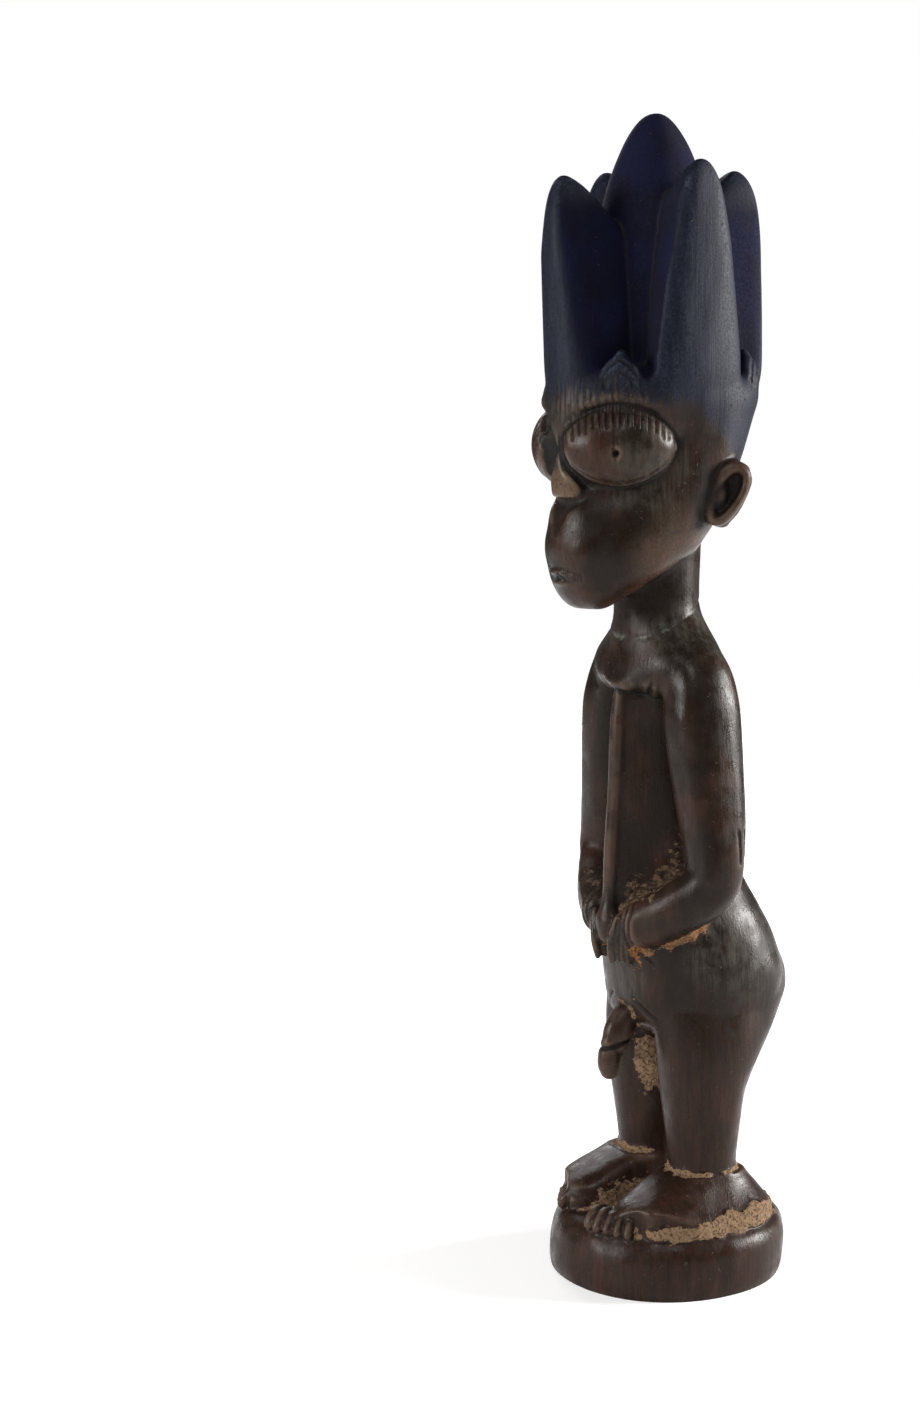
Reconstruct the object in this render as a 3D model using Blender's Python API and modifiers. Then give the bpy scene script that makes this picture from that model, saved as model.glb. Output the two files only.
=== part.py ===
"""A carved wooden twin figure standing on its own round base, all one block of wood.

Metres, +Z up. The origin is the middle of the base's flat underside. The figure faces -Y,
and its left side is +X.
"""

import bmesh
import bpy
import numpy as np

MM = 0.001

# Levels of the figure, in millimetres above the underside. Everything is placed from these.
BASE_TOP = 15.0
ANKLE = 29.0
CROTCH = 60.0
HIP = 71.0
WAIST = 98.0
ARMPIT = 145.0
NECK_FOOT = 158.0
CHIN = 165.0
EYE = 204.5
HAIRLINE = 215.0
HORN_TIP = 267.5
CROWN_TIP = 280.0

# Plan sizes, in millimetres.
BASE_RADIUS = 28.5
LEG_X = 11.0
SHOULDER_X = 15.2
ELBOW_X = 23.0
NECK_Y = -3.4
CROWN_Y = -3.6
HAIR_Y = -4.3
RIM_HALF_WIDTH = 22.2
RIM_HALF_DEPTH = 27.2

SIDES = 40
STEPS_PER_SPAN = 5
VOXEL = 0.9
MOST_TRIANGLES = 9400
FIGURE = "carved_figure"


def clear_scene():
    for thing in list(bpy.data.objects):
        bpy.data.objects.remove(thing)


def smooth_rows(rows, steps=STEPS_PER_SPAN):
    """The rows with more between them, on a Catmull-Rom curve through every column."""
    rows = np.array(rows, float)
    ends = np.vstack([2 * rows[0] - rows[1], rows, 2 * rows[-1] - rows[-2]])
    made = []
    for i in range(len(rows) - 1):
        a, b, c, d = ends[i : i + 4]
        for t in np.arange(steps) / steps:
            bend = (2 * a - 5 * b + 4 * c - d) * t**2 + (3 * b - 3 * c + d - a) * t**3
            made.append(0.5 * (2 * b + (c - a) * t + bend))
    return np.array(made + [rows[-1]])


def smooth_step(low, high, value):
    t = np.clip((value - low) / (high - low), 0, 1)
    return t * t * (3 - 2 * t)


def skin(block, rings):
    """Adds to block the closed surface through rings, each an array of SIDES points, in millimetres."""
    count = len(rings[0])
    made = [[block.verts.new(point * MM) for point in ring] for ring in rings]
    for low, high in zip(made, made[1:]):
        for i in range(count):
            j = (i + 1) % count
            block.faces.new((low[i], low[j], high[j], high[i]))
    block.faces.new(made[0][::-1])
    block.faces.new(made[-1])


def stack(block, rows, x=0.0, side=1, sides=SIDES):
    """A form of level sections. Each row is z, front y, back y, half width, wedge, squareness, lean in x.

    Wedge makes the front narrower than the back. Squareness 2 is an ellipse, and more is boxier.
    """
    turn = np.linspace(0, 2 * np.pi, sides, endpoint=False)
    c, s = np.cos(turn), np.sin(turn)
    rings = []
    for z, front, back, half_width, wedge, square, lean in smooth_rows(rows):
        across = np.sign(c) * np.abs(c) ** (2 / square) * half_width * (1 + wedge * s)
        along = np.sign(s) * np.abs(s) ** (2 / square) * (back - front) / 2
        middle = (front + back) / 2
        rings.append(
            np.stack([side * (x + lean + across), middle + along, np.full(sides, z)], 1)
        )
    skin(block, rings)


def limb(block, rows, up=(0, 0, 1), side=1, sides=24, square=2.0):
    """A form carried along a path. Each row is x, y, z, half thickness across the path, and along up.

    The ends are domed. Squareness 2 is an ellipse, and more is boxier.
    """
    rows = smooth_rows(rows)
    path, sizes = rows[:, :3], np.maximum(rows[:, 3:5], 0.2)
    ahead = np.gradient(path, axis=0)
    ahead /= np.linalg.norm(ahead, axis=1)[:, None]
    across = np.cross(np.array(up, float), ahead)
    across /= np.linalg.norm(across, axis=1)[:, None]
    raised = np.cross(ahead, across)
    dome = np.radians([80, 60, 40, 20])
    turn = np.linspace(0, 2 * np.pi, sides, endpoint=False)
    c, s = (np.sign(k) * np.abs(k) ** (2 / square) for k in (np.cos(turn), np.sin(turn)))
    rings = []

    def ring(i, shift, share):
        across_part = np.outer(c, across[i]) * sizes[i, 0]
        raised_part = np.outer(s, raised[i]) * sizes[i, 1]
        reach = sizes[i].min()
        return path[i] + ahead[i] * shift * reach + (across_part + raised_part) * share

    rings += [ring(0, -np.sin(a), np.cos(a)) for a in dome]
    rings += [ring(i, 0, 1) for i in range(len(rows))]
    rings += [ring(-1, np.sin(a), np.cos(a)) for a in dome[::-1]]
    skin(block, [points * (side, 1, 1) for points in rings])


def egg(block, centre, sizes, axes=None, side=1, sides=24):
    """An ellipsoid. axes is its three directions, as rows, where it is turned."""
    axes = np.eye(3) if axes is None else np.array(axes, float)
    tilt = np.radians(np.linspace(-84, 84, sides // 2))
    turn = np.linspace(0, 2 * np.pi, sides, endpoint=False)
    rings = []
    for a in tilt:
        local = np.stack(
            [
                np.cos(turn) * np.cos(a) * sizes[0],
                np.sin(turn) * np.cos(a) * sizes[1],
                np.full(sides, np.sin(a) * sizes[2]),
            ],
            1,
        )
        rings.append((np.array(centre) + local @ axes) * (side, 1, 1))
    skin(block, rings)


def base(block):
    """A thick disc, rounded at its top edge, its foot a little forward. trim_block() levels it."""
    insets = [(-2.5, 0.9), (0.0, 0.6), (1.6, 0.2), (4.0, 0.0), (8.0, 0.0), (11.0, 0.5)]
    insets += [(13.4, 1.9), (BASE_TOP, 4.6), (BASE_TOP + 0.7, 10.0), (BASE_TOP + 1.0, 18.0)]
    rows = []
    for z, inset in insets:
        radius = BASE_RADIUS - inset
        shift = -0.1 * max(12.0 - z, 0.0)
        rows.append((z, shift - radius, shift + radius, radius, 0, 2.1, 0))
    stack(block, rows, sides=64)


def foot(block, side):
    """Level sections that slope from the ankle to the toes and stay within the base, with five toes.

    Each row is z, front y, back y, inner x, outer x. The feet aren't quite alike: the toes of one
    start nearer its outer edge.
    """
    rows = [
        (BASE_TOP - 1.5, -24.6, 18.2, 2.2, 25.0),
        (BASE_TOP + 2.0, -24.4, 18.4, 2.2, 25.2),
        (BASE_TOP + 3.8, -22.8, 17.8, 2.5, 24.6),
        (BASE_TOP + 5.6, -20.6, 16.6, 2.9, 23.2),
        (BASE_TOP + 7.6, -16.8, 15.0, 3.0, 21.6),
        (BASE_TOP + 9.4, -12.8, 13.6, 3.0, 20.4),
        (BASE_TOP + 10.8, -9.4, 12.6, 3.0, 19.8),
        (BASE_TOP + 11.8, -6.6, 12.0, 3.2, 19.4),
    ]
    turn = np.linspace(0, 2 * np.pi, SIDES, endpoint=False)
    c, s = (np.sign(k) * np.abs(k) ** 0.68 for k in (np.cos(turn), np.sin(turn)))
    rings = []
    for z, front, back, inner, outer in smooth_rows(rows):
        if side < 0:
            front = front - 1.6 * smooth_step(BASE_TOP + 3, BASE_TOP + 6, z)
        x = (inner + outer) / 2 + c * (outer - inner) / 2
        y = (front + back) / 2 + s * (back - front) / 2
        at_toes = smooth_step(48, 36, np.degrees(np.arctan2(x, -y)))
        most = BASE_RADIUS - 2.2 - 1.8 * at_toes
        kept = np.minimum(1, most / np.maximum(np.hypot(x, y + 0.6), 1))
        rings.append(np.stack([side * x * kept, (y + 0.6) * kept - 0.6, np.full(SIDES, z)], 1))
    skin(block, rings)
    for i in range(5):
        heading = np.radians(9.0 + 6.2 * i if side > 0 else 26.0 + 6.6 * i)
        x, y = side * np.sin(heading), -np.cos(heading)
        thick = 1.25 - 0.04 * i
        places = [(21.6, 18.2), (23.8, 18.2), (25.6, 17.0), (26.6, 15.4)]
        limb(block, [(x * r, y * r, z - 0.12 * i, thick, 1.3) for r, z in places], sides=12)


def leg(block, side):
    """A column that widens into the thigh, and behind it into half of the seat."""
    rows = [
        (BASE_TOP + 3, -5.4, 10.0, 7.7, 0, 2.1, 0),
        (ANKLE, -5.8, 10.6, 8.1, 0, 2.1, 0),
        (ANKLE + 10, -6.9, 11.7, 9.3, 0, 2.1, 0),
        (ANKLE + 16, -7.7, 12.5, 10.1, 0, 2.1, 0),
        (ANKLE + 21, -8.4, 14.4, 10.6, 0, 2.1, 0),
        (ANKLE + 26, -9.0, 17.4, 10.8, 0, 2.1, 0),
        (CROTCH, -9.6, 21.0, 10.6, 0, 2.1, -0.2),
        (CROTCH + 6, -9.8, 24.8, 10.2, 0, 2.1, -0.6),
        (HIP, -9.4, 27.0, 9.6, 0, 2.1, -1.0),
        (HIP + 6, -8.4, 26.4, 8.6, 0, 2.1, -1.8),
        (HIP + 12, -6.0, 22.4, 7.0, 0, 2.1, -2.8),
    ]
    stack(block, rows, x=LEG_X, side=side)


def hips(block):
    """Belly in front and the big rounded seat behind, up to the small of the back."""
    rows = [
        (CROTCH + 1, -9.0, 21.0, 17.0, 0.05, 2.2, 0),
        (CROTCH + 4, -12.0, 24.6, 19.4, 0.05, 2.3, 0),
        (CROTCH + 8, -13.4, 27.2, 20.6, 0.05, 2.3, 0),
        (HIP + 1, -14.0, 28.2, 21.0, 0.05, 2.3, 0),
        (HIP + 5, -14.6, 28.2, 20.8, 0.05, 2.3, 0),
        (HIP + 9, -15.2, 26.8, 20.2, 0.05, 2.3, 0),
        (HIP + 14, -16.0, 25.0, 19.2, 0.05, 2.3, 0),
        (HIP + 19, -16.2, 22.4, 17.8, 0.05, 2.3, 0),
        (HIP + 23, -14.6, 20.2, 16.0, 0.05, 2.2, 0),
        (WAIST + 1, -10.0, 17.4, 13.6, 0.05, 2.2, 0),
        (WAIST + 5, -4.0, 13.6, 10.8, 0.05, 2.2, 0),
        (WAIST + 9, -1.0, 9.8, 7.6, 0.05, 2.2, 0),
    ]
    stack(block, rows)


def torso(block):
    """A narrow body: a keel down its front that ends in the navel, and a flat back behind it."""
    keel = [
        (WAIST - 14, -17.0, 12.0, 9.4, 0.5, 1.8, 0),
        (WAIST - 6, -18.4, 10.0, 9.2, 0.5, 1.75, 0),
        (WAIST + 8, -17.6, 8.2, 9.0, 0.5, 1.7, 0),
        (WAIST + 24, -16.6, 7.2, 8.8, 0.5, 1.7, 0),
        (ARMPIT - 10, -15.8, 7.0, 8.8, 0.5, 1.7, 0),
        (ARMPIT, -15.2, 7.0, 9.8, 0.45, 1.75, 0),
        (ARMPIT + 6, -12.6, 6.6, 11.0, 0.4, 1.8, 0),
    ]
    back = [
        (WAIST - 6, -2.0, 14.0, 10.6, 0, 2.6, 0),
        (WAIST + 4, -2.0, 10.6, 10.0, 0, 2.6, 0),
        (WAIST + 14, -2.0, 8.8, 9.8, 0, 2.6, 0),
        (ARMPIT - 18, -2.0, 8.4, 10.0, 0, 2.6, 0),
        (ARMPIT - 8, -2.0, 8.6, 11.4, 0, 2.6, 0),
        (ARMPIT, -2.0, 8.8, 14.0, 0, 2.5, 0),
        (ARMPIT + 8, -2.0, 8.6, 16.0, 0, 2.3, 0),
    ]
    stack(block, keel)
    stack(block, back)
    rib = [
        (0, -13.4, ARMPIT + 1, 1.9, 2.2),
        (0, -14.6, ARMPIT - 8, 1.7, 2.0),
        (0, -15.6, WAIST + 24, 1.6, 1.9),
        (0, -16.8, WAIST + 6, 1.6, 1.9),
        (0, -17.2, WAIST - 4, 1.9, 2.0),
        (0, -17.4, WAIST - 9, 3.7, 3.0),
        (0, -17.2, WAIST - 12.5, 3.2, 2.8),
    ]
    limb(block, rib, up=(0, -1, 0), sides=16)


def yoke(block):
    """The sloping shoulders, with two lobes whose lower edge overhangs the keel."""
    rows = [
        (ARMPIT - 0.5, -14.8, -4.0, 6.0, 0.2, 2.0, 0),
        (ARMPIT + 0.6, -15.6, 0.0, 10.0, 0.2, 2.0, 0),
        (ARMPIT + 2.4, -15.6, 5.0, 15.0, 0.1, 2.0, 0),
        (ARMPIT + 5.5, -14.4, 7.8, 20.2, 0, 2.5, 0),
        (ARMPIT + 8.5, -13.8, 8.4, 19.6, 0, 2.4, 0),
        (NECK_FOOT - 2.0, -13.4, 8.8, 17.2, 0, 2.2, 0),
        (NECK_FOOT + 0.5, -13.6, 8.6, 14.4, 0, 2.0, 0),
        (NECK_FOOT + 3.0, -13.6, 8.0, 12.0, 0, 2.0, 0),
        (NECK_FOOT + 5.5, -13.6, 7.0, 10.4, 0, 2.0, 0),
    ]
    stack(block, rows)
    for side in (-1, 1):
        egg(block, (6.8, -8.0, ARMPIT + 4.2), (8.6, 6.2, 6.0), side=side)


def neck(block):
    rows = [
        (z, NECK_Y - r, NECK_Y + r, r, 0, 2.0, 0)
        for z, r in [(NECK_FOOT - 6, 10.6), (CHIN, 10.3), (CHIN + 8, 10.4), (CHIN + 22, 11.0)]
    ]
    stack(block, rows)


def head(block):
    """Long face over a rounded muzzle, with the jaw rising and the nape sloping in to the neck."""
    rows = [
        (CHIN - 0.4, -25.4, -20.6, 3.2, 0, 2.0, 0),
        (CHIN + 0.8, -27.2, -18.0, 6.6, 0, 2.0, 0),
        (CHIN + 2.8, -28.8, -15.0, 9.6, 0, 2.1, 0),
        (CHIN + 6.0, -30.2, -9.0, 12.6, 0.03, 2.15, 0),
        (CHIN + 9.5, -31.2, -2.6, 14.8, 0.05, 2.15, 0),
        (CHIN + 13, -32.2, 3.6, 16.2, 0.08, 2.15, 0),
        (CHIN + 16, -32.4, 6.2, 17.0, 0.12, 2.1, 0),
        (CHIN + 19, -31.8, 8.0, 17.6, 0.17, 2.1, 0),
        (CHIN + 23, -31.2, 10.0, 18.2, 0.23, 2.05, 0),
        (CHIN + 27, -29.6, 12.0, 18.7, 0.28, 2.0, 0),
        (EYE - 6, -28.6, 15.0, 19.2, 0.31, 2.0, 0),
        (EYE, -28.8, 17.2, 19.9, 0.29, 2.0, 0),
        (EYE + 5, -31.2, 19.0, 20.7, 0.20, 2.1, 0),
        (HAIRLINE - 2, -31.9, 20.6, 21.4, 0.10, 2.2, 0),
        (HAIRLINE + 1.5, -31.5, 20.8, 21.2, 0.06, 2.15, 0),
        (HAIRLINE + 4, -29.6, 18.6, 19.4, 0.04, 2.0, 0),
        (HAIRLINE + 6, -22.0, 13.0, 14.0, 0, 2.0, 0),
    ]
    stack(block, rows, sides=56)


def face(block, side):
    """One eye, a long dome that bulges from the flank of the face."""
    along = np.array([0.55, 0.835, 0.0])
    outward = np.array([along[1], -along[0], 0.0])
    axes = [along, outward, (0, 0, 1)]
    egg(block, (9.2, -20.4, EYE - 1.2), (13.6, 9.4, 10.6), axes, side, sides=32)


def nose(block):
    rows = [
        (0, -30.4, EYE + 9, 6.0, 1.6),
        (0, -30.2, EYE + 5, 4.6, 1.8),
        (0, -29.6, EYE, 2.4, 2.0),
        (0, -29.2, EYE - 4.0, 2.9, 2.3),
        (0, -28.5, EYE - 8.4, 5.4, 3.1),
        (0, -28.2, EYE - 11.8, 5.7, 3.0),
    ]
    limb(block, rows, up=(0, -1, 0))


def mouth(block):
    """Two thin lips, low on the muzzle."""
    for z, y in ((CHIN + 8.6, -30.6), (CHIN + 6.2, -29.8)):
        path = [(-4.4, y + 1.0, z, 1.0, 1.0), (0, y, z, 1.1, 1.1), (4.4, y + 1.0, z, 1.0, 1.0)]
        limb(block, path, up=(0, 0, 1), sides=12)


def ear(block, side):
    """A leaf-shaped plate that stands out from the head and faces forward, with a thick rim."""
    outward = np.array([0.50, 0.866, 0.0])
    facing = np.array([0.866, -0.50, 0.0])
    middle = outward * 12.9 + facing * 16.2 + np.array([0, 0, EYE - 12.2])
    lean = outward * 0.36 + np.array([0, 0, 1.0])
    sizes = [(-6.8, 2.8, 1.7), (-3.8, 4.2, 1.9), (0.0, 4.7, 2.0), (3.6, 4.5, 1.9), (5.6, 3.2, 1.6)]
    plate = [(*(middle - facing * 2.2 + lean * up), wide, thick) for up, wide, thick in sizes]
    limb(block, plate, up=facing, side=side, sides=16)
    egg(block, (16.4, 1.0, EYE - 12.2), (4.4, 4.4, 6.4), side=side)
    rim = []
    for turn in np.radians(np.linspace(-90, 270, 13)):
        lift = np.sin(turn)
        across = (3.7 + 0.5 * lift) * np.cos(turn) - 0.5
        centre = middle + outward * across + lean * (6.1 * lift - 0.7)
        rim.append((*centre, 1.6 + 0.1 * lift - 0.35 * np.cos(turn), 2.1))
    limb(block, rim, up=facing, side=side, sides=12)


def horn(block, heading, outer_breadth, inner_breadth, reaches, bow, tip):
    """One lobe of the hair: a blade that stands on the rim, its top edge sloping in to the crown.

    heading is its direction in plan. The half breadths of its outer face and of its inner edge each
    go from a foot value to a tip value, the outer one by a power. reaches are the distances of its
    outer face from the middle of the hair at the rim, above it and at the tip, and bow the radius
    of that face in plan.
    """
    heading = np.array(heading, float)
    beside = np.array([-heading[1], heading[0]])
    foot_level = HAIRLINE - 10.0
    foot_reach, reach, tip_reach = reaches
    outer_foot, outer_tip, power = outer_breadth
    inner_foot, inner_tip = inner_breadth
    turn = np.linspace(0, 2 * np.pi, SIDES, endpoint=False)
    c, s = np.cos(turn), np.sin(turn)
    rings = []
    for share in 1 - (1 - np.linspace(0, 0.997, 36)) ** 1.6:
        level = foot_level + (tip - foot_level) * share
        sunk = 2.8 * (1 - np.minimum(share / 0.24, 1)) ** 1.3
        face = foot_reach + (reach - foot_reach) * np.minimum(share / 0.7, 1)
        outer = tip_reach + (face - tip_reach) * (1 - share**12) ** 0.55 - sunk
        edge = tip_reach - 2.6 * (1 - share**16) ** 0.5 - 0.98 * (tip - level)
        inner = np.maximum(8.0, edge)
        outside = outer_tip + (outer_foot - outer_tip) * (1 - share) ** power
        inside = inner_tip + (inner_foot - inner_tip) * (1 - share)
        breadth = (inside + (outside - inside) * (1 + s) / 2) * (1 - share**8) ** 0.45
        radial = (outer + inner) / 2 + np.sign(s) * np.abs(s) ** 0.52 * (outer - inner) / 2
        aside = np.sign(c) * np.abs(c) ** 0.52 * breadth
        radial -= np.clip(s + 0.4, 0, 1) * aside**2 / (2 * bow)
        plan = np.outer(radial, heading) + np.outer(aside, beside)
        rings.append(np.column_stack([plan[:, 0], plan[:, 1] + HAIR_Y, np.full(SIDES, level)]))
    skin(block, rings)


def crown(block):
    """The tall rounded lobe in the middle."""
    rows = []
    for share in 1 - (1 - np.linspace(0, 0.998, 16)) ** 2:
        drop = (CROWN_TIP - HAIRLINE) * (1 - share)
        radius = np.minimum(2.85 * drop**0.49, 11.6 + 0.04 * drop)
        rows.append((CROWN_TIP - drop, CROWN_Y - radius, CROWN_Y + radius, radius, 0, 2.0, 0))
    stack(block, rows)


def hair(block):
    """Four blades round a crown, with a small pointed mound on the rim between each two."""
    depth, width = RIM_HALF_DEPTH, RIM_HALF_WIDTH
    reaches = (depth, depth + 2.4, depth - 2.4)
    horn(block, (0, -1), (12.0, 3.4, 1.0), (8.0, 4.6), reaches, 20.0, HORN_TIP - 2.6)
    reaches = (depth + 0.6, depth + 2.0, depth - 4.0)
    horn(block, (0, 1), (13.5, 4.6, 0.9), (9.5, 5.0), reaches, 20.0, HORN_TIP)
    reaches = (width, width, width - 2.6)
    for side in (-1, 1):
        horn(block, (side, 0), (17.4, 6.2, 0.8), (7.5, 4.2), reaches, 34.0, HORN_TIP + 0.4)
    crown(block)
    for side in (-1, 1):
        for ahead in (-1, 1):
            y = HAIR_Y - 18.6 * ahead
            mound = [
                (11.8, y + 2.0 * ahead, HAIRLINE - 1, 5.6, 2.4),
                (12.9, y + 0.8 * ahead, HAIRLINE + 1.6, 6.0, 2.8),
                (12.9, y + 0.8 * ahead, HAIRLINE + 4.4, 5.2, 2.7),
                (12.6, y + 1.0 * ahead, HAIRLINE + 7.0, 3.5, 2.2),
                (12.3, y + 1.3 * ahead, HAIRLINE + 8.8, 1.4, 1.4),
            ]
            limb(block, mound, up=(0.72, -0.69 * ahead, 0), side=side, sides=16)


def arm(block, side):
    """Upper arm, bowed out to the elbow, then the forearm in over the belly."""
    upper = [
        (12.6, -1.8, ARMPIT + 8.0, 4.4, 5.8),
        (SHOULDER_X, -2.0, ARMPIT + 5.0, 6.4, 8.0),
        (16.4, -2.1, ARMPIT + 1, 7.3, 8.8),
        (17.2, -2.4, ARMPIT - 4, 7.5, 9.2),
        (18.5, -2.3, ARMPIT - 14, 7.5, 9.0),
        (20.6, -2.1, WAIST + 19, 7.3, 8.0),
        (22.4, -2.4, WAIST + 8, 7.0, 6.9),
        (ELBOW_X, -3.0, WAIST + 3.5, 6.4, 6.4),
    ]
    limb(block, upper, up=(0, 1, 0), side=side, sides=28, square=2.35)
    lower = [
        (ELBOW_X, -2.6, WAIST + 3.0, 6.3, 6.3),
        (20.6, -5.0, WAIST - 0.8, 6.5, 6.5),
        (16.0, -8.4, WAIST - 4.4, 6.5, 6.5),
        (11.8, -11.2, WAIST - 7.2, 6.1, 6.3),
        (8.8, -13.4, WAIST - 9.0, 5.2, 5.8),
    ]
    limb(block, lower, side=side, sides=28, square=2.35)


def hand(block, side):
    """A short flat hand with its fingers pointing down the belly."""
    outward = np.array([0.55, -0.835, 0.0])
    across = np.array([0.835, 0.55, 0.0])
    palm = [
        (8.4, -14.6, WAIST - 8.6, 4.6, 3.4),
        (6.2, -15.8, WAIST - 11.5, 4.2, 2.8),
        (5.0, -16.2, WAIST - 15.0, 3.4, 2.3),
        (4.4, -16.0, WAIST - 17.6, 2.6, 1.6),
    ]
    limb(block, palm, up=outward, side=side)
    for i in range(4):
        aside = across * (1.15 * i - 3.2)
        path = [
            (*(np.array([7.4, -16.4, WAIST - 7.4]) + aside), 0.62, 0.9),
            (*(np.array([6.6, -17.4, WAIST - 11.0]) + aside), 0.66, 0.95),
            (*(np.array([5.8, -17.7, WAIST - 15.0]) + aside), 0.66, 0.9),
            (*(np.array([5.2, -17.2, WAIST - 18.6 + 0.3 * i]) + aside * 0.9), 0.6, 0.8),
        ]
        limb(block, path, up=outward, side=side, sides=8)


def loins(block):
    """What hangs in front of the thighs, carved as a plain tapered peg with a knob."""
    shaft = [
        (0, -9.4, CROTCH + 7.2, 3.0, 2.8),
        (0, -12.8, CROTCH + 4.2, 3.4, 3.5),
        (0, -14.8, CROTCH + 0.6, 3.3, 3.8),
        (0, -15.6, CROTCH - 2.6, 2.8, 3.2),
    ]
    knob = [
        (0, -16.4, CROTCH + 0.5, 2.0, 2.0),
        (0, -17.2, CROTCH - 3.2, 2.5, 2.6),
        (0, -17.6, CROTCH - 6.6, 2.6, 2.7),
        (0, -17.4, CROTCH - 8.6, 2.1, 2.2),
    ]
    limb(block, shaft, up=(0, 1, 0))
    limb(block, knob, up=(0, 1, 0), sides=16)


def wood():
    """Dark, rubbed wood."""
    material = bpy.data.materials.new("dark_wood")
    material.use_nodes = True
    shader = material.node_tree.nodes["Principled BSDF"]
    shader.inputs["Base Color"].default_value = (0.035, 0.022, 0.017, 1)
    shader.inputs["Roughness"].default_value = 0.42
    shader.inputs["Metallic"].default_value = 0.0
    return material


def collection(name):
    made = bpy.data.collections.new(name)
    bpy.context.scene.collection.children.link(made)
    return made


def trim_block(cutters):
    """The block below the floor line, which leaves the underside flat."""
    bpy.ops.mesh.primitive_cube_add(size=0.1, location=(0, 0, -0.05))
    block = bpy.context.object
    block.name = "floor_cutter"
    block.hide_render = True
    block.display_type = "WIRE"
    for owner in list(block.users_collection):
        owner.objects.unlink(block)
    cutters.objects.link(block)
    return block


def evaluated_triangles(thing):
    bpy.context.view_layer.update()
    graph = bpy.context.evaluated_depsgraph_get()
    mesh = thing.evaluated_get(graph).to_mesh()
    mesh.calc_loop_triangles()
    return len(mesh.loop_triangles)


def carve():
    """All forms as one skin, melted together, smoothed, thinned and cut flat below."""
    block = bmesh.new()
    base(block)
    hips(block)
    torso(block)
    yoke(block)
    neck(block)
    head(block)
    nose(block)
    mouth(block)
    hair(block)
    loins(block)
    for side in (-1, 1):
        foot(block, side)
        leg(block, side)
        arm(block, side)
        hand(block, side)
        face(block, side)
        ear(block, side)
    bmesh.ops.recalc_face_normals(block, faces=block.faces)
    mesh = bpy.data.meshes.new(FIGURE)
    block.to_mesh(mesh)
    block.free()

    figure = bpy.data.objects.new(FIGURE, mesh)
    collection("twin_figure").objects.link(figure)
    mesh.materials.append(wood())
    melt = figure.modifiers.new("melt", "REMESH")
    melt.mode = "VOXEL"
    melt.voxel_size = VOXEL * MM
    melt.use_smooth_shade = True
    soften = figure.modifiers.new("soften", "SMOOTH")
    soften.factor = 0.5
    soften.iterations = 2
    thin = figure.modifiers.new("thin", "DECIMATE")
    thin.use_symmetry = True
    thin.symmetry_axis = "X"
    thin.ratio = 1.0
    thin.ratio = MOST_TRIANGLES / evaluated_triangles(figure)
    cut = figure.modifiers.new("cut", "BOOLEAN")
    cut.operation = "DIFFERENCE"
    cut.object = trim_block(collection("cutters"))


clear_scene()
carve()
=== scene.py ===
import bpy
import numpy as np
from mathutils import Matrix


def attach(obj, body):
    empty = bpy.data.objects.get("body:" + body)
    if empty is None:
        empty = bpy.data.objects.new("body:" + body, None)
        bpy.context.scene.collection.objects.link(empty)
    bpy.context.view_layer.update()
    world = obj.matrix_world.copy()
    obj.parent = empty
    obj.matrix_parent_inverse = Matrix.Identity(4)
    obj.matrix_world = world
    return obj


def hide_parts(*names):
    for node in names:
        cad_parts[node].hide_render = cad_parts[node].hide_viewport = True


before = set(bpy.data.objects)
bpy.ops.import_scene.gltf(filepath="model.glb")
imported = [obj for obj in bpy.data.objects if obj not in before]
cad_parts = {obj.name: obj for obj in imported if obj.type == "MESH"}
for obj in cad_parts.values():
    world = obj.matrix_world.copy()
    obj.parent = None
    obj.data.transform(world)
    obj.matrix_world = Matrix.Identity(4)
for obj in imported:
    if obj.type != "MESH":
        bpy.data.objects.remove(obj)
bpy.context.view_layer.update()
mm = 0.001

# The figure's levels above its underside and its plan sizes, in millimetres. It faces -Y.
figure = {
    "baseTop": 15.0,
    "ankle": 29.0,
    "crotch": 60.0,
    "hip": 71.0,
    "waist": 98.0,
    "armpit": 145.0,
    "neckFoot": 158.0,
    "chin": 165.0,
    "eye": 204.5,
    "hairline": 215.0,
    "hornTip": 267.5,
    "crownTip": 280.0,
    "baseRadius": 28.5,
    "legX": 11.0,
    "shoulderX": 15.2,
    "elbowX": 23.0,
    "neckY": -3.4,
    "crownY": -3.6,
    "hairY": -4.3,
    "rimHalfWidth": 22.2,
    "rimHalfDepth": 27.2,
    "voxel": 0.42,
    "mostTriangles": 196000,
}

baseTop, ankle, crotch, hip = (figure[k] for k in ("baseTop", "ankle", "crotch", "hip"))
waist, armpit, neckFoot, chin = (figure[k] for k in ("waist", "armpit", "neckFoot", "chin"))
eye, hairline, hornTip, crownTip = (figure[k] for k in ("eye", "hairline", "hornTip", "crownTip"))


# Catmull-Rom curve: a cubic through every row, whose slope there is half the step between its neighbours.
def smoothRows(rows, steps=8):
    rows = np.array(rows, float)
    ends = np.vstack([2 * rows[0] - rows[1], rows, 2 * rows[-1] - rows[-2]])
    a, b, c, d = (ends[i : len(rows) - 1 + i, None, :] for i in range(4))
    t = (np.arange(steps) / steps)[None, :, None]
    curve = b + 0.5 * t * (c - a + t * (2 * a - 5 * b + 4 * c - d + t * (3 * b - 3 * c + d - a)))
    return np.vstack([curve.reshape(-1, rows.shape[1]), rows[-1]])


def smoothStep(low, high, value):
    t = np.clip((value - low) / (high - low), 0, 1)
    return t * t * (3 - 2 * t)


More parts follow.
